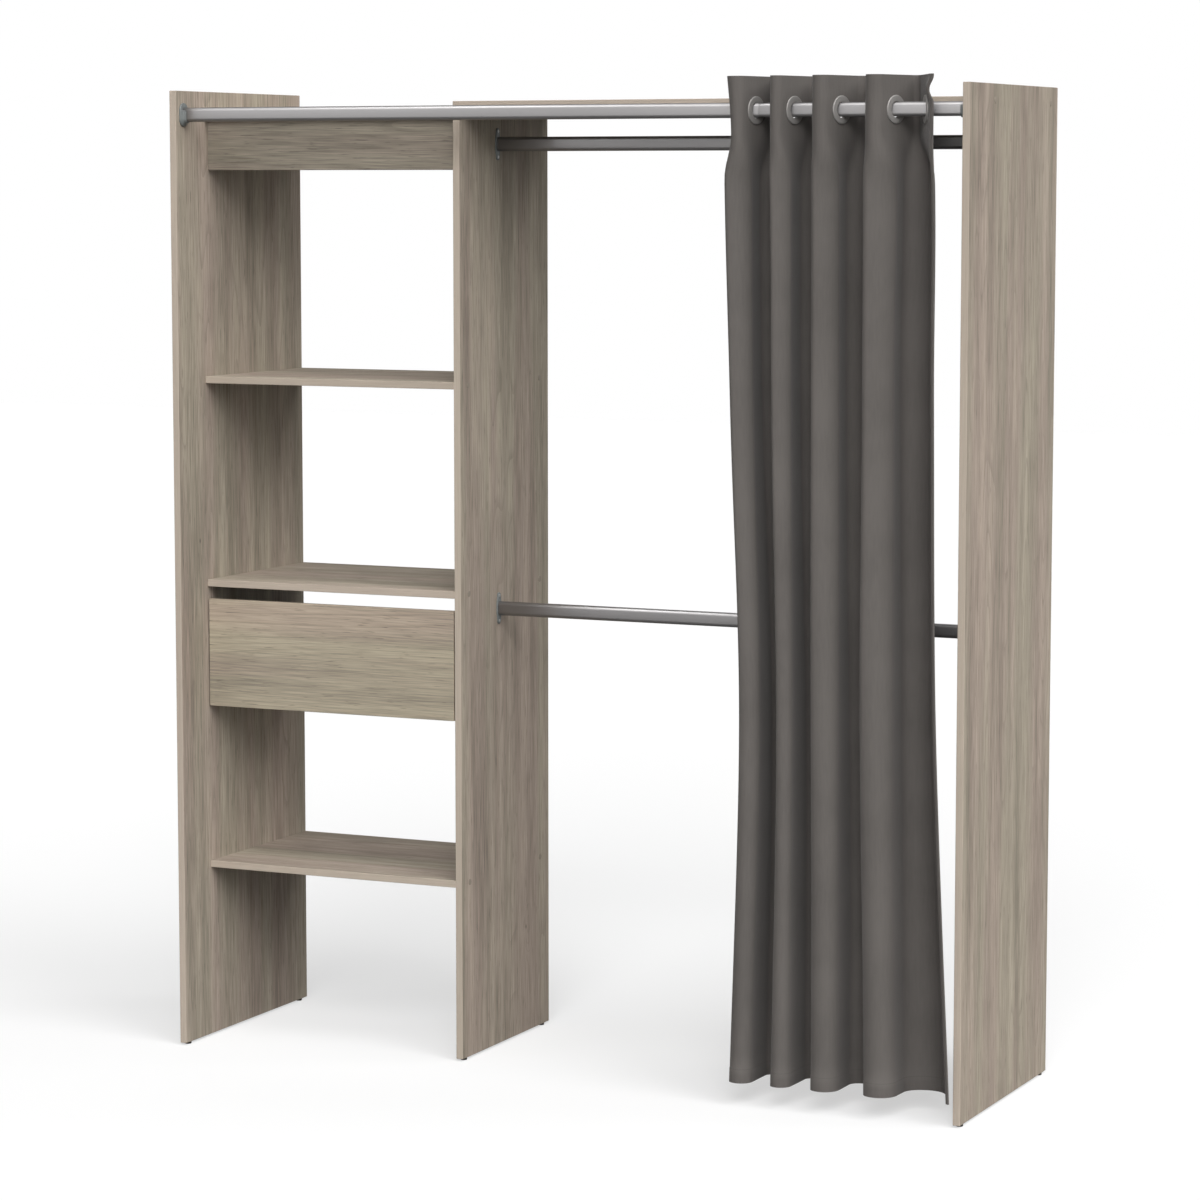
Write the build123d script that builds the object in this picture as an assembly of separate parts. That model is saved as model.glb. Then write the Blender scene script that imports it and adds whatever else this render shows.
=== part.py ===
from build123d import *
import math
import os

# Extendable clothes rack: a shelf column with a drawer, and a side panel that slides out on three telescopic
# tubes with a sliding top board. A curtain hangs by eyelets from the front tube.
# The origin is on the floor, midway across the overall width and midway between the front and the rear edges of
# the side panels. X points to the right, Y to the back and Z up. Lengths are in millimetres, angles in degrees.

# Overall sizes of the boards
rack_width = 1766.4
panel_height = 2025.0
panel_depth = 530.0
board_thickness = 15.0
edge_ease = 0.8

# The column on the left. Its top is lower than the side panels by the drop, and shelf tops are from its foot.
column_inner_width = 592.5
column_setback = 110.0
column_top_drop = 40.0
upper_shelf_top = 1424.0
centre_shelf_top = 989.0
lower_shelf_top = 380.0
fascia_height = 110.0
fascia_setback = 20.0

# The sliding side: how far the right panel can be pushed in, and the gaps in which things slide
extension_travel = 400.0
board_slide_gap = 0.3
tube_slide_gap = 0.2

# Glides under the panels
glide_height = 5.0
glide_diameter = 14.0
glide_chamfer = 1.0
glide_front_setback = 20.0
glide_rear_setback = 25.0

# Oval tubes. An end gap is what is left between a tube's end and the far support with the side pushed in.
tube_height = 30.0
tube_depth = 15.0
tube_wall = 0.7
curtain_rod_setback = 30.0
curtain_rod_drop = 50.0
curtain_tube_end_gap = 26.4
hanging_rod_setback = 285.0
upper_rod_drop = 71.0
lower_rod_height = 938.0
hanging_tube_end_gap = 32.9

# Sockets of the curtain rod: an oval foot on the panel, and a cup that a chamfer leads up to
socket_base_height = 49.0
socket_base_width = 32.0
socket_flare = 5.0
socket_length = 16.0
socket_foot_height = 7.0
socket_floor = 3.0
socket_fit = 0.15
socket_screw_spacing = 16.0

# Brackets of the hanging rods: a plate with two ears, and a tongue that fits between the tube's flat sides
bracket_thickness = 3.0
bracket_middle_width = 20.0
bracket_middle_height = 38.0
bracket_ear_radius = 6.5
bracket_screw_spacing = 54.0
bracket_tongue_length = 12.0
bracket_tongue_fit = 0.15

# Pan-head screws of sockets, brackets and runner rails
pan_head_diameter = 7.0
pan_head_height = 1.0
pan_shank_diameter = 3.5
pan_screw_length = 11.0

# Confirmat screws through the panels into the ends of the boards, with their cover caps
confirmat_length = 50.0
confirmat_shank_diameter = 6.0
confirmat_head_diameter = 9.6
confirmat_head_height = 3.0
screw_front_setback = 37.0
screw_rear_setback = 43.0
cap_diameter = 13.0
cap_height = 0.8
hole_clearance = 0.1

# Dowels of the fascia and of the drawer front
dowel_diameter = 8.0
dowel_length = 30.0
dowel_panel_depth = 10.0
dowel_edge_setback = 25.0
drawer_dowel_diameter = 6.0
drawer_dowel_edge_setback = 30.0

# Drawer
drawer_front_bottom = 717.0
drawer_front_height = 230.5
drawer_front_side_gap = 2.5
drawer_travel = 260.0
drawer_side_height = 140.0
drawer_side_thickness = 12.0
drawer_side_raise = 23.0
drawer_bottom_thickness = 3.0
drawer_groove_depth = 6.0
drawer_groove_raise = 10.0
drawer_screw_edge_setback = 38.0
drawer_screw_diameter = 4.0
drawer_screw_length = 32.0
drawer_screw_head_diameter = 7.5
drawer_screw_head_height = 2.0

# Roller runners of the drawer. The overlap is the length of rail still in its channel with the drawer open.
runner_width = 12.5
runner_overlap = 90.0
rail_metal = 1.2
rail_flange_width = 10.6
rail_front_gap = 2.0
rail_running_gap = 0.3
rail_flange_gap = 0.5
rail_web_height = 18.0
rail_tab_length = 26.0
rail_tab_drop = 15.0
rail_screw_end_setback = 45.0
drawer_rail_screw_raise = 5.5
roller_width = 6.0
front_roller_radius = 9.0
rear_roller_radius = 8.5
roller_end_setback = 12.0
roller_side_gap = 1.2
roller_notch_length = 25.0
pin_diameter = 4.0
pin_head_diameter = 6.5
pin_head_height = 1.2
pin_running_gap = 0.05
pin_head_gap = 0.3

# Curtain: cloth, its folds and its eyelets
cloth_thickness = 1.6
cloth_rise = 66.0
cloth_hem = 44.0
heading_height = 112.0
fold_front_reach = 48.0
fold_back_reach = 58.0
cloth_left_edge_reach = 14.0
cloth_right_edge_reach = 46.0
first_to_last_eyelet = 354.0
last_eyelet_setback = 84.4
eyelet_diameter = 53.0
eyelet_bore = 35.0
eyelet_barrel_wall = 1.2
eyelet_flange_thickness = 1.8
eyelet_flange_bevel = 0.7
eyelet_hang_gap = 0.3
eyelet_cloth_gap = 0.3
eyelet_press_gap = 0.1

# How steeply the cloth runs from front to back where it crosses the rod: degrees off square to the rod, for
# the left edge and then for each eyelet
crossing_leans = (10, 11, 8, 12, 10, 15, 22, 16, 30)

# Where the cloth crosses the rod's line at five heights: the left edge and then each eyelet's fold, as shares
# of the distance from the first eyelet to the last. Height shares are of the drop below the heading.
fold_height_shares = (1.0, 0.725, 0.39, 0.136, 0.0)
fold_crossing_shares = (
    (-0.110, 0.000, 0.110, 0.229, 0.367, 0.506, 0.667, 0.822, 1.000),
    (-0.105, 0.011, 0.121, 0.232, 0.364, 0.498, 0.656, 0.809, 1.002),
    (-0.040, 0.048, 0.151, 0.245, 0.376, 0.503, 0.662, 0.815, 1.010),
    (-0.046, 0.049, 0.160, 0.266, 0.404, 0.541, 0.706, 0.862, 1.050),
    (-0.088, 0.048, 0.175, 0.305, 0.441, 0.590, 0.757, 0.915, 1.100),
)

# Overrun of every cut past the face it leaves
cut_overrun = 2.0

# Flats drawn for a full round. Screws, dowels, pins and their holes are small and many, so they get few.
small_round_flats = 8
cap_flats = 12
roller_flats = 16
oval_flats = 16
eyelet_flats = 18

# Places along the width, from the left
left_face = -rack_width / 2
left_inner = left_face + board_thickness
middle_left = left_inner + column_inner_width
middle_right = middle_left + board_thickness
right_face = rack_width / 2
right_inner = right_face - board_thickness

# Places along the depth, from the front
panel_front = -panel_depth / 2
panel_back = panel_depth / 2
column_front = panel_front + column_setback
curtain_rod_y = panel_front + curtain_rod_setback
hanging_rod_y = panel_front + hanging_rod_setback

# Places along the height, from the floor
panel_base = glide_height
panel_top = panel_base + panel_height
column_top = panel_top - column_top_drop
curtain_rod_z = panel_top - curtain_rod_drop
upper_rod_z = column_top - upper_rod_drop
lower_rod_z = panel_base + lower_rod_height

# Lengths that follow from how far things slide
curtain_rod_span = right_inner - left_inner - 2 * socket_floor
hanging_rod_span = right_inner - middle_right - 2 * bracket_thickness
curtain_tube_length = curtain_rod_span - extension_travel - curtain_tube_end_gap
hanging_tube_length = hanging_rod_span - extension_travel - hanging_tube_end_gap
runner_length = drawer_travel + runner_overlap

MIN = Align.MIN
MID = Align.CENTER


def block(x0, x1, y0, y1, z0, z1):
    """A plain box between two places on each axis."""
    return Pos(x0, y0, z0) * Box(x1 - x0, y1 - y0, z1 - z0, align=(MIN, MIN, MIN))


def eased_board(x0, x1, y0, y1, z0, z1):
    """A board with its edge bands broken all round."""
    raw = block(x0, x1, y0, y1, z0, z1)
    return chamfer(raw.edges(), edge_ease)


def pin_along_x(x0, x1, y, z, radius, flats=small_round_flats):
    """A bar from x0 to x1, round but for its flats."""
    low, high = min(x0, x1), max(x0, x1)
    end = Plane(origin=(low, y, z), x_dir=(0, 1, 0), z_dir=(1, 0, 0))
    return extrude(end * RegularPolygon(radius, flats), high - low)


def pin_along_y(x, y0, y1, z, radius):
    """A bar from y0 back to y1, round but for its flats."""
    end = Plane(origin=(x, y0, z), x_dir=(1, 0, 0), z_dir=(0, 1, 0))
    return extrude(end * RegularPolygon(radius, small_round_flats), y1 - y0)


def round_enough(radius, flats):
    """The corner radius of a bore with flats that lets something of that radius turn in it."""
    return radius / math.cos(math.pi / flats)


def joined(pieces):
    """Separate solids kept side by side in one node."""
    return Compound(children=[piece.solid() for piece in pieces])


def without(body, tools):
    """A body with every tool cut away."""
    for tool in tools:
        body = body - tool
    return body


def saved(name, shape):
    """Writes one node."""
    export_step(shape, os.path.join("parts", name + ".step"))


# Confirmat screws: (face, direction into the board, y, z) for each one

board_screw_ys = (column_front + screw_front_setback, panel_back - screw_rear_setback)


def screw_rows(faces, top_of_board):
    """The screws that hold one horizontal board, through the panel faces given as (x, direction)."""
    z = top_of_board - board_thickness / 2
    return [(x, way, y, z) for x, way in faces for y in board_screw_ys]


column_board_tops = [panel_base + upper_shelf_top, panel_base + centre_shelf_top,
                     panel_base + lower_shelf_top, column_top]
column_faces = ((left_face, 1), (middle_right, -1))
column_screws = [place for top in column_board_tops for place in screw_rows(column_faces, top)]
sliding_top_z = column_top + board_slide_gap
sliding_screws = screw_rows(((right_face, -1),), sliding_top_z + board_thickness)


def confirmat(place, clearance=0.0):
    """A confirmat screw: a flush head and a thick shank. A clearance makes the hole for it."""
    x, way, y, z = place
    neck = x + way * confirmat_head_height
    tip = x + way * (confirmat_length + clearance)
    head = pin_along_x(x, neck + way * clearance, y, z, confirmat_head_diameter / 2 + clearance)
    shank = pin_along_x(neck, tip, y, z, confirmat_shank_diameter / 2 + clearance)
    return head + shank


def confirmat_holes(places):
    return [confirmat(place, hole_clearance) for place in places]


def screw_cap(place):
    """The round cover over a confirmat's head, on the panel's face."""
    x, way, y, z = place
    return pin_along_x(x - way * cap_height, x, y, z, cap_diameter / 2, cap_flats)


def places_near(places, x_low, x_high, z_low, z_high):
    """The places whose screw reaches between two widths and two heights."""
    near = []
    for x, way, y, z in places:
        tip = x + way * confirmat_length
        if min(x, tip) < x_high and max(x, tip) > x_low and z_low < z < z_high:
            near.append((x, way, y, z))
    return near


# Pan-head screws: (face, direction into the board, y, z, thickness under the head)


def pan_screw(place, clearance=0.0):
    """A pan-head screw whose head lies on a plate of the given thickness."""
    x, way, y, z, seat = place
    head_x = x - way * seat
    tip = x + way * (pan_screw_length - seat + clearance)
    shank = pin_along_x(head_x - way * pan_head_height, tip, y, z, pan_shank_diameter / 2 + clearance)
    if clearance:
        return shank
    return shank + pin_along_x(head_x - way * pan_head_height, head_x, y, z, pan_head_diameter / 2)


def pan_holes(places):
    return [pan_screw(place, hole_clearance) for place in places]


socket_screw_faces = {"left": (left_inner, -1), "right": (right_inner, 1)}
bracket_screw_faces = {"left": (middle_right, -1), "right": (right_inner, 1)}


def socket_screws(side):
    x, way = socket_screw_faces[side]
    half = socket_screw_spacing / 2
    return [(x, way, curtain_rod_y, curtain_rod_z + dz, socket_floor) for dz in (-half, half)]


def bracket_screws(side, rod_z):
    x, way = bracket_screw_faces[side]
    half = bracket_screw_spacing / 2
    return [(x, way, hanging_rod_y, rod_z + dz, bracket_thickness) for dz in (-half, half)]


def rod_support_screws(side):
    return socket_screws(side) + bracket_screws(side, upper_rod_z) + bracket_screws(side, lower_rod_z)


# Oval tubes and their supports


def oval(height, width):
    """An upright flat-sided oval on the YZ plane."""
    return SlotOverall(height, width, rotation=90)


def oval_with_flats(height, width):
    """The same oval, with flats for its two round ends."""
    reach = (height - width) / 2
    return make_hull((Sketch() + [Pos(0, v) * RegularPolygon(width / 2, oval_flats) for v in (-reach, reach)]).edges())


def oval_bar(x0, x1, y, z, height, width, outline=oval):
    """A solid oval bar from x0 to x1."""
    low, high = min(x0, x1), max(x0, x1)
    end = Plane(origin=(low, y, z), x_dir=(0, 1, 0), z_dir=(1, 0, 0))
    return extrude(end * outline(height, width), high - low)


inner_tube_height = tube_height - 2 * (tube_wall + tube_slide_gap)
inner_tube_depth = tube_depth - 2 * (tube_wall + tube_slide_gap)


def oval_tube(x0, x1, y, z, height, depth):
    """An oval tube of the common wall."""
    bore = oval_bar(x0 - cut_overrun, x1 + cut_overrun, y, z, height - 2 * tube_wall, depth - 2 * tube_wall)
    return oval_bar(x0, x1, y, z, height, depth) - bore


def outer_tube(x0, length, y, z):
    return oval_tube(x0, x0 + length, y, z, tube_height, tube_depth)


def inner_tube(x1, length, y, z):
    return oval_tube(x1 - length, x1, y, z, inner_tube_height, inner_tube_depth)


def rod_socket(side, height, depth):
    """The oval cup that holds an end of the curtain rod, drilled for its screws."""
    x, way = socket_screw_faces[side]
    out = -way
    foot_x = x + out * socket_foot_height
    rim_x = x + out * socket_length
    cup_height = socket_base_height - 2 * socket_flare
    cup_width = socket_base_width - 2 * socket_flare
    foot = oval_bar(x, foot_x, curtain_rod_y, curtain_rod_z, socket_base_height, socket_base_width,
                    oval_with_flats)
    foot_face = max(foot.faces(), key=lambda f: out * f.center().X)
    foot = chamfer(foot_face.edges(), socket_flare)
    cup = oval_bar(foot_x, rim_x, curtain_rod_y, curtain_rod_z, cup_height, cup_width, oval_with_flats)
    pocket_width = 2 * round_enough(depth / 2 + socket_fit, oval_flats)
    pocket = oval_bar(x + out * socket_floor, rim_x + out * cut_overrun, curtain_rod_y, curtain_rod_z,
                      height - depth + pocket_width, pocket_width, oval_with_flats)
    return without(foot + cup - pocket, pan_holes(socket_screws(side)))


def rod_bracket(side, rod_z, height, depth):
    """The plate with two ears and a tongue that holds an end of a hanging rod."""
    x, way = bracket_screw_faces[side]
    out = -way
    face = Plane(origin=(x, hanging_rod_y, rod_z), x_dir=(0, 1, 0), z_dir=(out, 0, 0))
    ear_spots = [Pos(0, dz) * RegularPolygon(bracket_ear_radius, oval_flats)
                 for dz in (-bracket_screw_spacing / 2, bracket_screw_spacing / 2)]
    middle = oval_with_flats(bracket_middle_height, bracket_middle_width)
    outline = make_hull((Sketch() + ear_spots + middle).edges())
    plate = extrude(face * outline, bracket_thickness)
    tongue_width = depth - 2 * (tube_wall + bracket_tongue_fit)
    tongue = Pos(0, 0, bracket_thickness) * Box(tongue_width, height - depth, bracket_tongue_length,
                                                align=(MID, MID, MIN))
    return without(plate + face.location * tongue, pan_holes(bracket_screws(side, rod_z)))


# Drawer and its runners. Places across a runner are measured from the panel's inner face towards the drawer.

drawer_z = panel_base + drawer_front_bottom
drawer_side_z = drawer_z + drawer_side_raise
drawer_back_of_front = column_front + board_thickness
box_left = left_inner + runner_width
box_right = middle_left - runner_width
rail_start = drawer_back_of_front + rail_front_gap
rail_end = rail_start + runner_length
channel_top = drawer_side_z - rail_flange_gap
channel_inner_height = 2 * (rear_roller_radius + rail_running_gap)
channel_bottom = channel_top - channel_inner_height - 2 * rail_metal
front_roller_y = rail_start + roller_end_setback
front_roller_z = drawer_side_z - rail_running_gap - front_roller_radius
rear_roller_y = rail_end - roller_end_setback
rear_roller_z = channel_bottom + rail_metal + rail_running_gap + rear_roller_radius
web_face = runner_width - rail_metal
rail_screw_ys = (rail_start + rail_screw_end_setback, rail_end - rail_screw_end_setback)


def across(side, u):
    """The X of a place across the runner of one side."""
    return left_inner + u if side == "left" else middle_left - u


def runner_block(side, u0, u1, y0, y1, z0, z1):
    low, high = sorted((across(side, u0), across(side, u1)))
    return block(low, high, y0, y1, z0, z1)


def panel_rail_screws(side):
    way = -1 if side == "left" else 1
    return [(across(side, 0), way, y, rear_roller_z, rail_metal) for y in rail_screw_ys]


def drawer_rail_screws(side):
    way = 1 if side == "left" else -1
    z = drawer_side_z + drawer_rail_screw_raise
    return [(across(side, runner_width), way, y, z, rail_metal) for y in rail_screw_ys]


def panel_rail(side):
    """The channel on the panel: open towards the drawer, its top lip notched for the front roller."""
    body = runner_block(side, 0, rail_flange_width, rail_start, rail_end, channel_bottom, channel_top)
    hollow = runner_block(side, rail_metal, rail_flange_width + cut_overrun, rail_start - cut_overrun,
                          rail_end + cut_overrun, channel_bottom + rail_metal, channel_top - rail_metal)
    notch = runner_block(side, rail_metal, rail_flange_width + cut_overrun, rail_start - cut_overrun,
                         rail_start + roller_notch_length, channel_top - 2 * rail_metal,
                         channel_top + cut_overrun)
    return without(body, [hollow, notch] + pan_holes(panel_rail_screws(side)))


def drawer_rail(side):
    """The angle on the drawer side: a flange that runs on the front roller, and a tab for the rear roller."""
    flange = runner_block(side, runner_width - rail_flange_width, runner_width, rail_start, rail_end,
                          drawer_side_z, drawer_side_z + rail_metal)
    web = runner_block(side, web_face, runner_width, rail_start, rail_end,
                       drawer_side_z, drawer_side_z + rail_web_height)
    tab = runner_block(side, web_face, runner_width, rail_end - rail_tab_length, rail_end,
                       drawer_side_z - rail_tab_drop, drawer_side_z)
    return without(flange + web + tab, pan_holes(drawer_rail_screws(side)))


# Each roller's side next to the sheet that carries its pin, and its far side
front_roller_sides = (rail_metal + roller_side_gap, rail_metal + roller_side_gap + roller_width)
rear_roller_sides = (web_face - roller_side_gap, web_face - roller_side_gap - roller_width)


def roller(side, sides, y, z, radius):
    """A nylon roller: bored for its pin and counterbored for the pin's head."""
    near, far = (across(side, u) for u in sides)
    way = 1 if far > near else -1
    wheel = pin_along_x(near, far, y, z, radius, roller_flats)
    bore_radius = round_enough(pin_diameter / 2 + pin_running_gap, roller_flats)
    seat_radius = round_enough(pin_head_diameter / 2 + pin_head_gap, roller_flats)
    bore = pin_along_x(near - way * cut_overrun, far + way * cut_overrun, y, z, bore_radius, roller_flats)
    seat = pin_along_x(far - way * (pin_head_height + pin_head_gap), far + way * cut_overrun, y, z,
                       seat_radius, roller_flats)
    return wheel - bore - seat


def roller_pin(side, root, sides, y, z):
    """The rivet pin of a roller, from the sheet that carries it to the roller's far side."""
    near, far = (across(side, u) for u in sides)
    way = 1 if far > near else -1
    shank = pin_along_x(across(side, root), far, y, z, pin_diameter / 2)
    return shank + pin_along_x(far - way * pin_head_height, far, y, z, pin_head_diameter / 2)


drawer_side_top = drawer_side_z + drawer_side_height
groove_z = drawer_side_z + drawer_groove_raise
drawer_dowel_zs = (drawer_side_z + drawer_dowel_edge_setback, drawer_side_top - drawer_dowel_edge_setback)
drawer_dowel_xs = (box_left + drawer_side_thickness / 2, box_right - drawer_side_thickness / 2)
drawer_screw_zs = (drawer_side_z + drawer_screw_edge_setback, drawer_side_top - drawer_screw_edge_setback)


def drawer_dowels(clearance=0.0):
    front_end = drawer_back_of_front - dowel_panel_depth - clearance
    back_end = front_end + dowel_length + 2 * clearance
    return [pin_along_y(x, front_end, back_end, z, drawer_dowel_diameter / 2 + clearance)
            for x in drawer_dowel_xs for z in drawer_dowel_zs]


def drawer_back_screws(clearance=0.0):
    """The screws through the sides into the ends of the drawer's back."""
    y = rail_end - drawer_side_thickness / 2
    screws = []
    for x, way in ((box_left, 1), (box_right, -1)):
        for z in drawer_screw_zs:
            head = pin_along_x(x, x + way * (drawer_screw_head_height + clearance), y, z,
                               drawer_screw_head_diameter / 2 + clearance)
            shank = pin_along_x(x, x + way * (drawer_screw_length + clearance), y, z,
                                drawer_screw_diameter / 2 + clearance)
            screws.append(head + shank)
    return screws


def drawer_bottom(clearance=0.0):
    """The thin bottom, or with a clearance the groove that it slides into from behind."""
    inset = drawer_side_thickness - drawer_groove_depth
    return block(box_left + inset - clearance, box_right - inset + clearance,
                 drawer_back_of_front - drawer_groove_depth - clearance, rail_end + clearance,
                 groove_z - clearance, groove_z + drawer_bottom_thickness + clearance)


def drawer_front():
    body = eased_board(left_inner + drawer_front_side_gap, middle_left - drawer_front_side_gap, column_front,
                       drawer_back_of_front, drawer_z, drawer_z + drawer_front_height)
    return without(body, [drawer_bottom(hole_clearance)] + drawer_dowels(hole_clearance))


def drawer_side(side):
    x0, x1 = sorted((across(side, runner_width), across(side, runner_width + drawer_side_thickness)))
    body = block(x0, x1, drawer_back_of_front, rail_end, drawer_side_z, drawer_side_top)
    tools = [drawer_bottom(hole_clearance)] + drawer_dowels(hole_clearance)
    tools += drawer_back_screws(hole_clearance) + pan_holes(drawer_rail_screws(side))
    return without(body, tools)


def drawer_back():
    body = block(box_left + drawer_side_thickness, box_right - drawer_side_thickness,
                 rail_end - drawer_side_thickness, rail_end,
                 groove_z + drawer_bottom_thickness + hole_clearance, drawer_side_top)
    return without(body, drawer_back_screws(hole_clearance))


# Panels and boards of the column and of the sliding side

fascia_y = column_front + fascia_setback
fascia_z = column_top - board_thickness - fascia_height


def fascia_dowels(clearance=0.0):
    """The dowels between the fascia's ends and the two column panels."""
    y = fascia_y + board_thickness / 2
    zs = (fascia_z + dowel_edge_setback, fascia_z + fascia_height - dowel_edge_setback)
    dowels = []
    for x, way in ((left_inner, 1), (middle_left, -1)):
        outer = x - way * (dowel_panel_depth + clearance)
        inner = x + way * (dowel_length - dowel_panel_depth + clearance)
        dowels += [pin_along_x(outer, inner, y, z, dowel_diameter / 2 + clearance) for z in zs]
    return dowels


def left_side_panel():
    body = eased_board(left_face, left_inner, panel_front, panel_back, panel_base, panel_top)
    places = places_near(column_screws, left_face, left_inner, panel_base, column_top)
    tools = confirmat_holes(places) + fascia_dowels(hole_clearance)
    tools += pan_holes(socket_screws("left") + panel_rail_screws("left"))
    return without(body, tools)


def middle_panel():
    body = eased_board(middle_left, middle_right, column_front, panel_back, panel_base, column_top)
    places = places_near(column_screws, middle_left, middle_right, panel_base, column_top)
    tools = confirmat_holes(places) + fascia_dowels(hole_clearance)
    tools += pan_holes(bracket_screws("left", upper_rod_z) + bracket_screws("left", lower_rod_z))
    tools += pan_holes(panel_rail_screws("right"))
    return without(body, tools)


def right_side_panel():
    body = eased_board(right_inner, right_face, panel_front, panel_back, panel_base, panel_top)
    return without(body, confirmat_holes(sliding_screws) + pan_holes(rod_support_screws("right")))


def column_board(top):
    """A shelf, or the column's fixed top, between the left and the middle panel."""
    body = eased_board(left_inner, middle_left, column_front, panel_back, top - board_thickness, top)
    return without(body, confirmat_holes(places_near(column_screws, left_inner, middle_left,
                                                     top - board_thickness, top)))


def top_fascia():
    body = eased_board(left_inner, middle_left, fascia_y, fascia_y + board_thickness,
                       fascia_z, fascia_z + fascia_height)
    return without(body, fascia_dowels(hole_clearance))


def sliding_top_panel():
    """The board over the hanging space, which slides over the column's top when the rack is pushed in."""
    body = eased_board(middle_left, right_inner, column_front, panel_back,
                       sliding_top_z, sliding_top_z + board_thickness)
    return without(body, confirmat_holes(sliding_screws))


def glides(panel_middles):
    """Glides near the front and the rear edge, under each panel given as (middle x, front y)."""
    pads = []
    for x, front in panel_middles:
        for y in (front + glide_front_setback, panel_back - glide_rear_setback):
            pad = Pos(x, y, 0) * extrude(RegularPolygon(glide_diameter / 2, cap_flats), glide_height)
            foot = pad.faces().sort_by(Axis.Z)[0].edges()
            pads.append(chamfer(foot, glide_chamfer))
    return joined(pads)


# The curtain: its cloth follows a wavy line that crosses the rod at each eyelet

heading_bottom = curtain_rod_z + cloth_rise - heading_height
hem_z = panel_base + cloth_hem
first_eyelet_x = right_inner - last_eyelet_setback - first_to_last_eyelet
eyelet_z = curtain_rod_z + tube_height / 2 + eyelet_hang_gap - eyelet_bore / 2


def fold_line(crossing_shares):
    """The corners of the cloth's line at one height, and the radius that rounds each corner to its reach."""
    xs = [first_eyelet_x + share * first_to_last_eyelet for share in crossing_shares]
    slopes = [math.tan(math.radians(lean)) for lean in crossing_leans]
    corners = [(xs[0] + cloth_left_edge_reach * slopes[0], curtain_rod_y - cloth_left_edge_reach)]
    radii = []
    for i in range(len(xs) - 1):
        forward = i % 2 == 0
        reach = fold_front_reach if forward else fold_back_reach
        corner_reach = (xs[i + 1] - xs[i]) / (slopes[i] + slopes[i + 1])
        half_corner = math.radians(crossing_leans[i] + crossing_leans[i + 1]) / 2
        sideways = xs[i] + corner_reach * slopes[i]
        corners.append((sideways, curtain_rod_y + (-corner_reach if forward else corner_reach)))
        radii.append((corner_reach - reach) * math.sin(half_corner) / (1 - math.sin(half_corner)))
    corners.append((xs[-1] + cloth_right_edge_reach * slopes[-1], curtain_rod_y - cloth_right_edge_reach))
    return corners, radii


def parallel_line(corners, distance):
    """The same line moved sideways: every straight keeps its direction, and the corners are mitred."""
    moved = []
    for i, (x, y) in enumerate(corners):
        before = corners[max(i - 1, 0):max(i - 1, 0) + 2]
        after = corners[min(i, len(corners) - 2):min(i, len(corners) - 2) + 2]
        normals = []
        for (ax, ay), (bx, by) in (before, after):
            length = math.hypot(bx - ax, by - ay)
            normals.append(((ay - by) / length, (bx - ax) / length))
        (n1x, n1y), (n2x, n2y) = normals
        stretch = distance / (1 + n1x * n2x + n1y * n2y)
        moved.append((x + (n1x + n2x) * stretch, y + (n1y + n2y) * stretch))
    return moved


def cloth_section(crossing_shares, z):
    """The cloth's cut at one height, as thick as the cloth."""
    corners, radii = fold_line(crossing_shares)
    half = cloth_thickness / 2
    front_side = parallel_line(corners, -half)
    back_side = parallel_line(corners, half)
    # A fold that turns to the front has its centre behind the front side
    front_radii = [r + (half if i % 2 == 0 else -half) for i, r in enumerate(radii)]
    back_radii = [r - (half if i % 2 == 0 else -half) for i, r in enumerate(radii)]
    outline = FilletPolyline(front_side + back_side[::-1], close=True,
                             radius=[0, *front_radii, 0, 0, *back_radii[::-1], 0])
    return Pos(0, 0, z) * make_face(outline)


def eyelet_plane(i):
    """The plane of an eyelet: its centre hangs under the rod's top, and it faces the cloth's front."""
    x = first_eyelet_x + fold_crossing_shares[0][i] * first_to_last_eyelet
    lean = math.radians(crossing_leans[i])
    across_rod = math.cos(lean) if i % 2 else -math.cos(lean)
    return Plane(origin=(x, curtain_rod_y, eyelet_z), x_dir=(0, 0, 1), z_dir=(across_rod, -math.sin(lean), 0))


eyelet_numbers = range(1, len(crossing_leans))
eyelet_bore_corner = round_enough(eyelet_bore / 2, eyelet_flats)
barrel_radius = eyelet_bore_corner + eyelet_barrel_wall


def ring_part(i, radius, low, high):
    """A round slab on an eyelet's axis, between two distances in front of the middle of the cloth."""
    return extrude(eyelet_plane(i).offset(low) * RegularPolygon(radius, eyelet_flats), high - low)


def eyelet_front_ring(i):
    """The front half: a bevelled flange and the barrel that passes through the cloth and the back ring."""
    front = cloth_thickness / 2 + eyelet_flange_thickness
    flange = ring_part(i, eyelet_diameter / 2, cloth_thickness / 2, front)
    outward = eyelet_plane(i).z_dir
    face = max(flange.faces(), key=lambda f: f.center().dot(outward))
    flange = chamfer(face.edges(), eyelet_flange_bevel)
    barrel = ring_part(i, barrel_radius, -front, cloth_thickness / 2)
    return flange + barrel - ring_part(i, eyelet_bore_corner, -front - cut_overrun, front + cut_overrun)


def eyelet_back_ring(i):
    """The back half: a flat washer pressed against the cloth's back."""
    back = -cloth_thickness / 2 - eyelet_flange_thickness
    washer = ring_part(i, eyelet_diameter / 2, back, -cloth_thickness / 2)
    return washer - ring_part(i, barrel_radius + eyelet_press_gap, back - cut_overrun, 0)


def eyelet_hole(i):
    """The hole in the cloth for an eyelet's barrel."""
    reach = cloth_thickness / 2 + cut_overrun
    radius = round_enough(barrel_radius + eyelet_cloth_gap, small_round_flats)
    return extrude(eyelet_plane(i) * RegularPolygon(radius, small_round_flats), reach, both=True)


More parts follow.
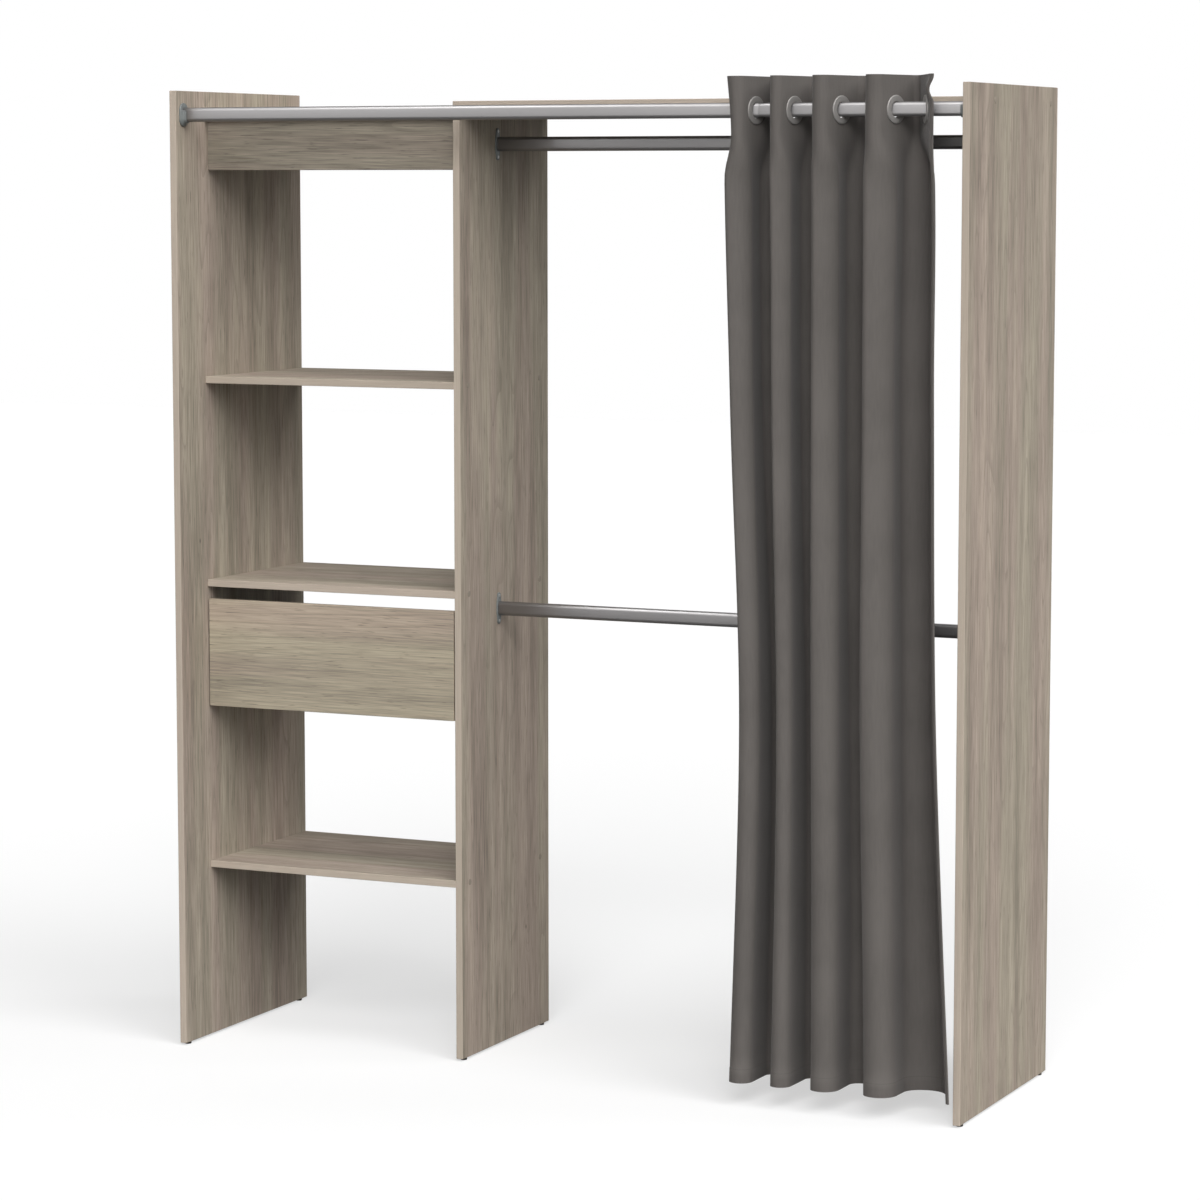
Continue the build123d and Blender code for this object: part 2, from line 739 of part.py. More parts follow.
def curtain_cloth():
    """The heading is straight down, and the folds below it wander from height to height."""
    heading_section = cloth_section(fold_crossing_shares[0], heading_bottom)
    heading = without(extrude(heading_section, heading_height), [eyelet_hole(i) for i in eyelet_numbers])
    drop = heading_bottom - hem_z
    levels = [cloth_section(shares, hem_z + height_share * drop)
              for height_share, shares in zip(fold_height_shares, fold_crossing_shares)]
    return heading + loft(levels, ruled=True)


def column_nodes():
    saved("left_side_panel", left_side_panel())
    saved("middle_panel", middle_panel())
    saved("column_top_panel", column_board(column_top))
    saved("top_fascia", top_fascia())
    saved("upper_shelf", column_board(panel_base + upper_shelf_top))
    saved("centre_shelf", column_board(panel_base + centre_shelf_top))
    saved("lower_shelf", column_board(panel_base + lower_shelf_top))
    saved("column_screws", joined([confirmat(place) for place in column_screws]))
    saved("column_screw_caps", joined([screw_cap(place) for place in column_screws]))
    saved("fascia_dowels", joined(fascia_dowels()))
    middles = (((left_face + left_inner) / 2, panel_front), ((middle_left + middle_right) / 2, column_front))
    saved("column_glides", glides(middles))


def rod_nodes():
    tube_start = left_inner + socket_floor
    saved("curtain_rod_outer_tube", outer_tube(tube_start, curtain_tube_length, curtain_rod_y, curtain_rod_z))
    saved("curtain_rod_inner_tube",
          inner_tube(right_inner - socket_floor, curtain_tube_length, curtain_rod_y, curtain_rod_z))
    saved("curtain_rod_left_socket", rod_socket("left", tube_height, tube_depth))
    saved("curtain_rod_right_socket", rod_socket("right", inner_tube_height, inner_tube_depth))
    for name, rod_z in (("upper_rod", upper_rod_z), ("lower_rod", lower_rod_z)):
        saved(name + "_outer_tube",
              outer_tube(middle_right + bracket_thickness, hanging_tube_length, hanging_rod_y, rod_z))
        saved(name + "_inner_tube",
              inner_tube(right_inner - bracket_thickness, hanging_tube_length, hanging_rod_y, rod_z))
        saved(name + "_left_bracket", rod_bracket("left", rod_z, tube_height, tube_depth))
        saved(name + "_right_bracket", rod_bracket("right", rod_z, inner_tube_height, inner_tube_depth))
    for side in ("left", "right"):
        saved(side + "_rod_support_screws", joined([pan_screw(place) for place in rod_support_screws(side)]))


def sliding_side_nodes():
    saved("right_side_panel", right_side_panel())
    saved("sliding_top_panel", sliding_top_panel())
    saved("sliding_top_screws", joined([confirmat(place) for place in sliding_screws]))
    saved("sliding_top_screw_caps", joined([screw_cap(place) for place in sliding_screws]))
    saved("right_panel_glides", glides((((right_face + right_inner) / 2, panel_front),)))


def drawer_nodes():
    saved("drawer_front", drawer_front())
    saved("drawer_back", drawer_back())
    saved("drawer_bottom", drawer_bottom())
    saved("drawer_front_dowels", joined(drawer_dowels()))
    saved("drawer_back_screws", joined(drawer_back_screws()))
    panel_screws, rail_screws, front_pins, rear_pins = [], [], [], []
    for side in ("left", "right"):
        saved(side + "_drawer_side", drawer_side(side))
        saved(side + "_panel_rail", panel_rail(side))
        saved(side + "_drawer_rail", drawer_rail(side))
        saved(side + "_front_roller",
              roller(side, front_roller_sides, front_roller_y, front_roller_z, front_roller_radius))
        saved(side + "_rear_roller",
              roller(side, rear_roller_sides, rear_roller_y, rear_roller_z, rear_roller_radius))
        panel_screws += [pan_screw(place) for place in panel_rail_screws(side)]
        rail_screws += [pan_screw(place) for place in drawer_rail_screws(side)]
        front_pins.append(roller_pin(side, rail_metal, front_roller_sides, front_roller_y, front_roller_z))
        rear_pins.append(roller_pin(side, web_face, rear_roller_sides, rear_roller_y, rear_roller_z))
    saved("panel_rail_screws", joined(panel_screws))
    saved("drawer_rail_screws", joined(rail_screws))
    saved("front_roller_pins", joined(front_pins))
    saved("rear_roller_pins", joined(rear_pins))


def curtain_nodes():
    saved("curtain_cloth", curtain_cloth())
    saved("eyelet_front_rings", joined([eyelet_front_ring(i) for i in eyelet_numbers]))
    saved("eyelet_back_rings", joined([eyelet_back_ring(i) for i in eyelet_numbers]))


os.makedirs("parts", exist_ok=True)
column_nodes()
rod_nodes()
sliding_side_nodes()
drawer_nodes()
curtain_nodes()
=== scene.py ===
import math

import bpy
from bpy.props import FloatProperty, FloatVectorProperty, IntProperty, PointerProperty
from mathutils import Matrix, Vector, noise


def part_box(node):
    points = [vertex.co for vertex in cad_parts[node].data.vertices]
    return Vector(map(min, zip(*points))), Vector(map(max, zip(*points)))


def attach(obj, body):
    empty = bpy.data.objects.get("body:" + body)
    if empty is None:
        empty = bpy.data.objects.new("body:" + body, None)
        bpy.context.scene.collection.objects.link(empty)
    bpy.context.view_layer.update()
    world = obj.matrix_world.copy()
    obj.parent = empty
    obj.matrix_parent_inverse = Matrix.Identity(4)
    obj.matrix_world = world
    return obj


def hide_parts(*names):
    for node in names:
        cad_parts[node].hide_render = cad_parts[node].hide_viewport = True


# Looks of the extendable clothes rack: oak decor boards, satin oval tubes, eyelets and a hanging curtain.
# Lengths are in metres, and MM turns a size in millimetres into metres. X points right, Y back and Z up.

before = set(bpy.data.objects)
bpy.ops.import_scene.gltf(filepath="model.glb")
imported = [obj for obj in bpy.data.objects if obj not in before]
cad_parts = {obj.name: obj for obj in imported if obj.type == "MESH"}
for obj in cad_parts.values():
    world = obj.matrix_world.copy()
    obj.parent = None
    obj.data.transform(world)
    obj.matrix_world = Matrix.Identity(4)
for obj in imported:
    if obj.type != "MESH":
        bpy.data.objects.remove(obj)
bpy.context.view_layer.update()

MM = 0.001

bl_info = {
    "name": "Extendable clothes rack",
    "version": (1, 0, 0),
    "blender": (4, 5, 0),
    "location": "3D View > Sidebar > Rack",
    "description": "Dresses the boards, tubes, fittings and curtain of an extendable clothes rack",
    "category": "Object",
}


def srgb(hex_colour):
    """The linear colour of an sRGB hex value."""
    parts = [int(hex_colour[i:i + 2], 16) / 255 for i in (1, 3, 5)]
    return tuple(c / 12.92 if c <= 0.04045 else ((c + 0.055) / 1.055) ** 2.4 for c in parts)


def opaque(colour):
    """A colour as a shader socket takes it."""
    return (*colour[:3], 1.0)


def colour(name, description, shade):
    """A colour setting, whose default is an sRGB hex value."""
    return FloatVectorProperty(name=name, description=description, subtype='COLOR', min=0, max=1,
                               default=srgb(shade))


def length(name, description, size):
    """A length setting."""
    return FloatProperty(name=name, description=description, unit='LENGTH', default=size)


def strength(name, description, level):
    """A light's strength, where a strength of 1 is white."""
    return FloatProperty(name=name, description=description, default=level)


# Settings that a user would change


class RackBoards(bpy.types.PropertyGroup):
    light: colour("Light wood", "The palest bands of the decor's faces", "#B6AB9E")
    dark: colour("Dark wood", "The darkest bands of the decor's faces", "#7F776D")
    olive: colour("Olive tint", "Tints the greener zones of the decor", "#FBFCF6")
    rosy: colour("Rosy tint", "Tints the pinker zones of the decor", "#FFF9F8")
    edge: colour("Edge band", "The paler edge band on the boards' front edges", "#A99D90")
    warm: colour("Warm wood", "The drawer front's warmer, paler wood", "#ABA08F")
    band_width: length("Band width", "Width of the decor's broad bands", 42 * MM)
    ring_spacing: length("Ring spacing", "Distance between two growth lines", 9 * MM)


class RackMetals(bpy.types.PropertyGroup):
    satin: colour("Tube metal", "Colour of the satin tubes", "#949292")
    nickel: colour("Eyelet metal", "Colour of the eyelets", "#9C9996")
    zinc: colour("Screw metal", "Colour of the zinc-plated screws and pins", "#B4B4B2")
    tube_wall: length("Tube wall", "Wall of the tubes", 0.7 * MM)


class RackFittings(bpy.types.PropertyGroup):
    support: colour("Support plastic", "Colour of the tubes' end supports", "#6C706F")
    cap: colour("Cap plastic", "Colour of the screw covers", "#8F8578")
    glide: colour("Glide plastic", "Colour of the glides", "#3A3632")
    cap_diameter: length("Cap diameter", "Diameter of a screw cover", 13 * MM)
    front_setback: length("Front setback", "From a board's front edge to its first screw", 37 * MM)
    rear_setback: length("Rear setback", "From a board's rear edge to its last screw", 43 * MM)
    socket_screw_spacing: length("Socket screws", "Between a socket's two screws", 16 * MM)
    bracket_screw_spacing: length("Bracket screws", "Between a bracket's two screws", 54 * MM)


class RackCurtain(bpy.types.PropertyGroup):
    cloth: colour("Cloth", "Colour of the curtain", "#595552")
    thickness: length("Thickness", "Thickness of the cloth", 1.2 * MM)
    hem_thickness: length("Hem thickness", "Thickness of the turned-in hems", 3.2 * MM)
    side_hem: length("Side hem", "Width of the hems at the curtain's sides", 20 * MM)
    bottom_hem: length("Bottom hem", "Height of the hem at the curtain's foot", 30 * MM)
    eyelet_diameter: length("Eyelet diameter", "Outside diameter of an eyelet", 55 * MM)
    eyelet_bore: length("Eyelet bore", "Opening of an eyelet", 31.2 * MM)
    front_reach: length("Front reach", "How far the folds come in front of the rod", 49 * MM)
    back_reach: length("Back reach", "How far the folds go behind the rod", 57 * MM)
    fold_columns: IntProperty(name="Columns", description="Columns of the mesh in each front fold",
                              default=60, min=16)


class RackStudio(bpy.types.PropertyGroup):
    camera_place: FloatVectorProperty(name="Camera", description="Where the camera stands", subtype='XYZ',
                                      unit='LENGTH', default=(3.363204, -7.301135, 1.843397))
    camera_yaw: FloatProperty(name="Camera yaw", description="How far it turns left of straight back",
                              subtype='ANGLE', default=math.radians(24.8246))
    camera_pitch: FloatProperty(name="Camera pitch", description="How far it looks down",
                                subtype='ANGLE', default=math.radians(6.1733))
    focal_length: FloatProperty(name="Focal length", description="In millimetres on a 36 mm wide sensor",
                                default=116.357)
    sky: strength("Sky light", "Strength of the even light from all round", 0.04)
    key: strength("Key light", "Strength of the main soft light at the front right", 15.2)
    side: strength("Side light", "Strength of the wide soft lights at the right", 3.9)
    fill: strength("Fill light", "Strength of the low soft light at the front left", 1.3)
    rear: strength("Rear light", "Strength of the wide soft light behind the object", 0.9)
    card: strength("Reflector", "Brightness of the card that shiny pieces reflect overhead", 6.0)


# Node helpers, and what the materials share


def feed(made, links):
    """Gives each input of a node a value, or the output that feeds it."""
    for key, value in links.items():
        if isinstance(value, bpy.types.NodeSocket):
            made.id_data.links.new(value, made.inputs[key])
        else:
            made.inputs[key].default_value = value


def node(tree, kind, links=None, stops=None, gives=None, **settings):
    """Adds a shader node with its settings and inputs. Returns the output it gives, or else its first."""
    made = tree.nodes.new("ShaderNode" + kind)
    for name, value in settings.items():
        setattr(made, name, value)
    feed(made, links or {})
    if stops:
        ramp = made.color_ramp
        while len(ramp.elements) < len(stops):
            ramp.elements.new(0.5)
        for element, (place, tint) in zip(ramp.elements, stops):
            element.position = place
            element.color = opaque(tint)
    if gives:
        return made.outputs[gives]
    return next((output for output in made.outputs if output.enabled), None)


def new_material(name):
    """A material with its shader, and the tree that holds it."""
    material = bpy.data.materials.new(name)
    material.use_nodes = True
    tree = material.node_tree
    return material, tree, tree.nodes["Principled BSDF"]


def grey(level):
    return (level, level, level)


def scaled(tint, share):
    """A colour made darker, or with a share over 1 lighter."""
    return [c * share for c in tint]


def grained(name, tint, dimmest, size, detail, finish, stretch=(1, 1, 1), rough=None, dent=None):
    """A material of one colour with a fine grain, which dims it and may spread its gloss and dent it.

    dimmest is what the grain leaves of the colour, size its width, and finish the shader's plain values.
    rough is the lowest and the highest roughness, and dent the bump's strength and depth.
    """
    material, tree, shader = new_material(name)
    place = node(tree, "TexCoord", gives="Object")
    if stretch != (1, 1, 1):
        place = node(tree, "Mapping", {"Vector": place, "Scale": stretch})
    grain = node(tree, "TexNoise", {"Vector": place, "Scale": 1 / size, "Detail": detail})
    tone = node(tree, "Mix", {"Factor": grain, "A": opaque(tint), "B": opaque(scaled(tint, dimmest))},
                data_type='RGBA')
    feed(shader, {"Base Color": tone, **finish})
    if rough:
        spread = node(tree, "MapRange", {"Value": grain, "To Min": rough[0], "To Max": rough[1]})
        feed(shader, {"Roughness": spread})
    if dent:
        bump = node(tree, "Bump", {"Height": grain, "Strength": dent[0], "Distance": dent[1]})
        feed(shader, {"Normal": bump})
    return material


def oak_decor(name, grain, shift, pale, deep, edge, look):
    """Oak decor foil on particle board: printed paper under melamine resin, pressed matt with a fine pore.

    The print gives soft bands, thin growth lines that bend round a few small knots, fine fibres and short
    dark marks. Edges that face the front carry a separate band, cut from a paler print. grain is 'Z' or 'X',
    the way it runs.
    """
    material, tree, shader = new_material(name)
    place = node(tree, "TexCoord", gives="Object")
    axes = node(tree, "SeparateXYZ", {"Vector": place}).node.outputs
    across = node(tree, "Math", {0: axes["Y"], 1: axes["X" if grain == "Z" else "Z"]}, operation='ADD')
    flat = node(tree, "CombineXYZ", {"X": across, "Y": axes[grain]})
    flat = node(tree, "Mapping", {"Vector": flat, "Location": shift})
    # The print is drawn fourteen times longer than it is wide, its fine layers longer still, and its lines
    # wander sideways by up to 20 mm
    drawn = node(tree, "Mapping", {"Vector": flat, "Scale": (1, 1 / 14, 1)})
    wander = node(tree, "TexNoise", {"Vector": drawn, "Scale": 4.0, "Detail": 2.0}, gives="Color",
                  noise_dimensions='2D')
    wander = node(tree, "VectorMath", {0: wander, 1: (0.5, 0.5, 0.5)}, operation='SUBTRACT')
    wander = node(tree, "VectorMath", {0: wander, 1: (40 * MM, 10 * MM, 0)}, operation='MULTIPLY')
    drawn = node(tree, "VectorMath", {0: drawn, 1: wander}, operation='ADD')
    # Each layer's width, how much longer it is drawn, its detail, and its place in the noise
    layers = {}
    for layer, width, stretch, detail, seed in (
            ("bands", look.band_width, 1.6, 1.0, 0), ("streaks", 9 * MM, 2, 3.0, 3),
            ("fibres", 2.2 * MM, 3.5, 2.0, 5), ("hue", 110 * MM, 1.3, 2.0, 7),
            ("marks", 3.8 * MM, 1, 2.0, 11), ("field", 150 * MM, 1, 0.7, 13)):
        moved = node(tree, "Mapping", {"Vector": drawn, "Location": (seed, seed * 0.7, 0),
                                       "Scale": (1, 1 / stretch, 1)})
        layers[layer] = node(tree, "TexNoise", {"Vector": moved, "Scale": 1 / width, "Detail": detail,
                                                "Roughness": 0.55}, noise_dimensions='2D')
    # Knots: one in each cell of about 0.3 by 0.6 m, kept in about a third of the cells
    spread = node(tree, "Mapping", {"Vector": flat, "Scale": (1, 0.5, 1)})
    cells = node(tree, "TexVoronoi", {"Vector": spread, "Scale": 3.2}, voronoi_dimensions='2D').node.outputs
    chance = node(tree, "SeparateColor", {"Color": cells["Color"]})
    kept = node(tree, "Math", {0: chance, 1: 0.66}, operation='GREATER_THAN')
    near = {}
    for part, reach in (("swirl", 0.16), ("core", 0.014)):
        share = node(tree, "MapRange", {"Value": cells["Distance"], "From Max": reach, "To Min": 1.0,
                                        "To Max": 0.0}, interpolation_type='SMOOTHERSTEP')
        near[part] = node(tree, "Math", {0: share, 1: kept}, operation='MULTIPLY')
    # Growth lines are contours of a slow field, which the knots lift. Each starts sharply and fades out
    field = node(tree, "Math", {0: near["swirl"], 1: 0.14, 2: layers["field"]}, operation='MULTIPLY_ADD')
    field = node(tree, "Math", {0: field, 1: 0.2 / look.ring_spacing}, operation='MULTIPLY')
    field = node(tree, "Math", {0: field}, operation='FRACT')
    lines = node(tree, "MapRange", {"Value": field, "From Max": 0.24, "To Min": 1.0, "To Max": 0.0},
                 interpolation_type='SMOOTHSTEP')
    faint = node(tree, "MapRange", {"Value": layers["bands"], "From Min": 0.38, "From Max": 0.62,
                                    "To Min": 0.1, "To Max": 0.8})
    lines = node(tree, "Math", {0: lines, 1: faint}, operation='MULTIPLY')
    flecks = node(tree, "MapRange", {"Value": layers["marks"], "From Min": 0.63, "From Max": 0.77},
                  interpolation_type='SMOOTHSTEP')
    tone = node(tree, "Math", {0: layers["bands"], 1: 0.5}, operation='MULTIPLY')
    for layer, weight in (("streaks", 0.18), ("fibres", 0.7)):
        tone = node(tree, "Math", {0: layers[layer], 1: weight, 2: tone}, operation='MULTIPLY_ADD')
    wood = node(tree, "MapRange", {"Value": tone, "From Min": 0.44, "From Max": 0.89})
    wood = node(tree, "ValToRGB", {"Fac": wood}, [(0.0, deep), (1.0, pale)])
    # Rosy and grey-green zones take turns across the board
    tint = node(tree, "ValToRGB", {"Fac": layers["hue"]}, [(0.4, look.rosy), (0.6, look.olive)])
    wood = node(tree, "Mix", {"Factor": 1.0, "A": wood, "B": tint}, data_type='RGBA', blend_type='MULTIPLY')
    dark = node(tree, "Math", {0: lines, 1: 0.28}, operation='MULTIPLY')
    for part, weight in ((flecks, 0.4), (near["core"], 0.7), (near["swirl"], 0.08)):
        dark = node(tree, "Math", {0: part, 1: weight, 2: dark}, operation='MULTIPLY_ADD', use_clamp=True)
    wood = node(tree, "Mix", {"Factor": dark, "A": wood, "B": opaque(scaled(deep, 0.3))}, data_type='RGBA')
    facing = node(tree, "NewGeometry", gives="True Normal")
    facing = node(tree, "SeparateXYZ", {"Vector": facing}, gives="Y")
    band = node(tree, "Math", {0: facing, 1: -0.6}, operation='LESS_THAN')
    band = node(tree, "Math", {0: band, 1: edge}, operation='MULTIPLY')
    wood = node(tree, "Mix", {"Factor": band, "A": wood, "B": opaque(look.edge)}, data_type='RGBA')
    dent = node(tree, "Bump", {"Height": layers["fibres"], "Strength": 0.25, "Distance": 0.1 * MM})
    feed(shader, {"Base Color": wood, "Normal": dent, "Roughness": 0.6, "IOR": 1.45,
                  "Specular IOR Level": 0.25})
    return material


def melamine_board(name, tint):
    """White-grey melamine on particle board: a plain printed sheet with a fine orange-peel press.

    Faint clouds of about 110 mm vary its colour, and the press dents it about every 0.8 mm.
    """
    cloud = 1 / 9
    material = grained(name, tint, 0.92, cloud, 3.0, {"Roughness": 0.5})
    tree = material.node_tree
    place = node(tree, "TexCoord", gives="Object")
    peel = node(tree, "TexNoise", {"Vector": place, "Scale": 1 / (0.8 * MM)})
    dent = node(tree, "Bump", {"Height": peel, "Strength": 0.15, "Distance": 0.1 * MM})
    feed(tree.nodes["Principled BSDF"], {"Normal": dent})
    return material


def satin_tube_metal(name, tint):
    """Satin steel tube: drawn, ground along its length and clear lacquered.

    The grinding spreads the reflections in lines about 0.5 mm apart and 80 mm long, and the lacquer keeps a
    thin sharp highlight on the round edge.
    """
    lacquered = {"Metallic": 1.0, "Coat Weight": 0.8, "Coat Roughness": 0.12}
    return grained(name, tint, 0.86, 0.5 * MM, 2.0, lacquered, stretch=(1 / 160, 1, 1), rough=(0.4, 0.5),
                   dent=(0.08, 0.05 * MM))


def plated_metal(name, tint, roughness, grit, metallic=1.0):
    """Plated small steel: stamped or rolled, then barrel-plated, which leaves a fine even grain.

    A plating that is blasted matt scatters a part of its light, and is less than fully metallic.
    """
    return grained(name, tint, 0.84, grit, 3.0, {"Metallic": metallic},
                   rough=(roughness - 0.06, roughness + 0.06))


def powder_coat(name, tint):
    """Powder-coated steel sheet: a baked skin with a faint orange peel of about 1.5 mm."""
    return grained(name, tint, 0.93, 1.5 * MM, 1.0, {"Roughness": 0.38}, dent=(0.2, 0.1 * MM))


def moulded_plastic(name, tint, roughness):
    """Injection-moulded plastic: an eroded mould leaves a grain of about half a millimetre."""
    return grained(name, tint, 0.88, 0.5 * MM, 2.0, {"Roughness": roughness, "IOR": 1.49},
                   dent=(0.2, 0.05 * MM))


def raw_beech(name, tint):
    """Raw turned beech dowel: fine straight grain with short dark flecks, unfinished and matt."""
    return grained(name, tint, 0.7, 1.5 * MM, 2.0, {"Roughness": 0.75})


def woven_cloth(name, look, edges):
    """Polyester plain weave: crossing yarns, a soft sheen at grazing angles, hems held by stitches.

    The yarns are drawn 1.2 mm apart, about twice as coarse as real ones, so that they show. The piece's UV
    map holds the flat cloth in metres, and edges its left, right and bottom edge there.
    """
    material, tree, shader = new_material(name)
    flat = node(tree, "UVMap", uv_map="flat_cloth")
    axes = node(tree, "SeparateXYZ", {"Vector": flat}).node.outputs
    waves = []
    for axis in ("X", "Y"):
        phase = node(tree, "Math", {0: axes[axis], 1: math.tau / (1.2 * MM)}, operation='MULTIPLY')
        waves.append(node(tree, "Math", {0: phase}, operation='SINE'))
    weave = node(tree, "Math", {0: waves[0], 1: waves[1]}, operation='MULTIPLY')
    drawn = node(tree, "Mapping", {"Vector": flat, "Scale": (1, 1 / 10, 1)})
    slubs = node(tree, "TexNoise", {"Vector": drawn, "Scale": 1 / (4 * MM), "Detail": 3.0},
                 noise_dimensions='2D')
    clouds = node(tree, "TexNoise", {"Vector": flat, "Scale": 6.0, "Detail": 2.0}, noise_dimensions='2D')
    tone = node(tree, "Math", {0: slubs, 1: 0.6, 2: clouds}, operation='MULTIPLY_ADD')
    tone = node(tree, "Math", {0: weave, 1: 0.12, 2: tone}, operation='MULTIPLY_ADD')
    cloth = node(tree, "ValToRGB", {"Fac": tone}, [(0.35, scaled(look.cloth, 0.9)),
                                                   (1.2, scaled(look.cloth, 1.1))])
    # Stitches 3 mm long with gaps of 1 mm hold the hems, 2 mm inside their inner edges
    left, right, bottom = edges
    bottom += look.bottom_hem - look.side_hem
    inside = node(tree, "Math", {0: axes["X"], 1: left}, operation='SUBTRACT')
    for low, high in ((axes["X"], right), (bottom, axes["Y"])):
        rest = node(tree, "Math", {0: high, 1: low}, operation='SUBTRACT')
        inside = node(tree, "Math", {0: inside, 1: rest}, operation='MINIMUM')
    stitches = node(tree, "Math", {0: inside, 1: look.side_hem - 2 * MM, 2: 0.6 * MM}, operation='COMPARE')
    along = node(tree, "Math", {0: axes["X"], 1: axes["Y"]}, operation='ADD')
    along = node(tree, "Math", {0: along, 1: 4 * MM}, operation='FLOORED_MODULO')
    along = node(tree, "Math", {0: along, 1: 3 * MM}, operation='LESS_THAN')
    stitches = node(tree, "Math", {0: stitches, 1: along}, operation='MULTIPLY')
    cloth = node(tree, "Mix", {"Factor": stitches, "A": cloth, "B": opaque(scaled(look.cloth, 0.8))},
                 data_type='RGBA')
    dent = node(tree, "Bump", {"Height": weave, "Strength": 0.25, "Distance": 0.2 * MM})
    feed(shader, {"Base Color": cloth, "Normal": dent, "Roughness": 0.85, "Sheen Weight": 0.12,
                  "Sheen Roughness": 0.4, "Specular IOR Level": 0.2})
    return material


# Modelling helpers


def fresh_start():
    """Object mode with nothing selected."""
    if bpy.context.mode != 'OBJECT':
        bpy.ops.object.mode_set(mode='OBJECT')
    bpy.ops.object.select_all(action='DESELECT')


def pick(*pieces):
    """Selects only these pieces, and makes the first one active."""
    fresh_start()
    for piece in pieces:
        piece.select_set(True)
    bpy.context.view_layer.objects.active = pieces[0]


def open_mesh(piece):
    """Edit mode, with all of the piece's mesh selected."""
    pick(piece)
    bpy.ops.object.mode_set(mode='EDIT')
    bpy.ops.mesh.select_all(action='SELECT')


def close_mesh():
    """Turns all faces outwards and leaves edit mode."""
    bpy.ops.mesh.select_all(action='SELECT')
    bpy.ops.mesh.normals_make_consistent(inside=False)
    bpy.ops.object.mode_set(mode='OBJECT')


def finish_with(piece, kind, **settings):
    """Adds a modifier with its settings and applies it."""
    pick(piece)
    made = piece.modifiers.new(kind.lower(), kind)
    for name, value in settings.items():
        setattr(made, name, value)
    bpy.ops.object.modifier_apply(modifier=made.name)
    return piece


def outline(points, filled=True):
    """A closed outline in the XY plane, and its face: a circle whose corners are set to the points."""
    fresh_start()
    fill = 'NGON' if filled else 'NOTHING'
    bpy.ops.mesh.primitive_circle_add(vertices=len(points), radius=1, fill_type=fill)
    made = bpy.context.object
    for vertex, point in zip(made.data.vertices, points):
        vertex.co = (point[0], point[1], 0)
    return made


def oval_points(height, width, corners=24):
    """An upright flat-sided oval, with that many corners on each round end."""
    reach, radius = (height - width) / 2, width / 2
    points = []
    for end, start in ((reach, 0), (-reach, math.pi)):
        for i in range(corners):
            turn = start + math.pi * i / (corners - 1)
            points.append((radius * math.cos(turn), end + radius * math.sin(turn)))
    return points


def round_points(radius, corners=40):
    return [(radius * math.cos(math.tau * i / corners), radius * math.sin(math.tau * i / corners))
            for i in range(corners)]


def build_up(piece, steps):
    """Raises the outline's face in steps of (inset, rise). The first face stays as the piece's base."""
    open_mesh(piece)
    bpy.ops.mesh.extrude_region_move(TRANSFORM_OT_translate={"value": (0, 0, steps[0][1])})
    for inset, rise in steps[1:]:
        if inset:
            bpy.ops.mesh.inset(thickness=inset, depth=0, use_boundary=True)
            if rise:
                bpy.ops.transform.translate(value=(0, 0, rise))
        else:
            bpy.ops.mesh.extrude_region_move(TRANSFORM_OT_translate={"value": (0, 0, rise)})
    close_mesh()
    return piece


def spun(points, steps=64):
    """A ring turned about the Z axis from a closed outline of (radius, height) points."""
    piece = outline(points, filled=False)
    for vertex, (radius, height) in zip(piece.data.vertices, points):
        vertex.co = (radius, 0, height)
    open_mesh(piece)
    bpy.ops.mesh.spin(steps=steps, angle=math.tau, center=(0, 0, 0), axis=(0, 0, 1))
    bpy.ops.mesh.select_all(action='SELECT')
    bpy.ops.mesh.remove_doubles(threshold=0.01 * MM)
    close_mesh()
    return piece


def axes_to(out, up):
    """The turn that takes a piece's Z axis to out and its Y axis to up."""
    out, up = Vector(out), Vector(up)
    return Matrix((up.cross(out), up, out)).transposed().to_4x4()


def copy_at(master, place, out, up=(0, 0, 1)):
    """A copy of a piece, with its own mesh, moved to a place with its Z axis pointing out."""
    pick(master)
    bpy.ops.object.duplicate()
    made = bpy.context.object
    made.matrix_world = Matrix.Translation(place) @ axes_to(out, up)
    bpy.ops.object.transform_apply(location=True, rotation=True, scale=True)
    return made


def join(pieces, name):
    """Several objects as one, named."""
    pick(*pieces)
    if len(pieces) > 1:
        bpy.ops.object.join()
    pieces[0].name = name
    pieces[0].data.name = name
    return pieces[0]


def discard(piece):
    bpy.data.objects.remove(piece, do_unlink=True)


def bevelled(piece, width, segments=3):
    """Rounds every edge that turns by more than about thirty degrees."""
    return finish_with(piece, 'BEVEL', width=width, segments=segments, limit_method='ANGLE')


def dress(piece, body, slot, material, *nodes):
    """Smooths a finished piece, gives it its material and puts it in place of the frame's nodes."""
    pick(piece)
    bpy.ops.object.shade_smooth_by_angle(angle=math.radians(35))
    piece.data.materials.clear()
    piece.data.materials.append(material)
    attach(piece, body)
    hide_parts(*nodes)


def set_out(master, places, node_name, way_made, body, slot, material):
    """Copies a piece to each (place, way it points), and dresses them as the one that stands for a node."""
    copies = [copy_at(master, *place) for place in places]
    discard(master)
    dress(join(copies, f"{node_name}_{way_made}"), body, slot, material, node_name)


def coat(node_name, material):
    """Gives one of the frame's own nodes its material."""
    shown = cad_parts[node_name]
    shown.data.materials.clear()
    shown.data.materials.append(material)


def middle_of(node_name):
    low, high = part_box(node_name)
    return (low + high) / 2


def foot_of(node_name, out):
    """Where a fitting stands on its panel: the middle of its inner end, when out is the way it points."""
    low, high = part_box(node_name)
    return Vector((low.x if out > 0 else high.x, (low.y + high.y) / 2, (low.z + high.z) / 2))


def settings():
    return bpy.context.scene


# The boards


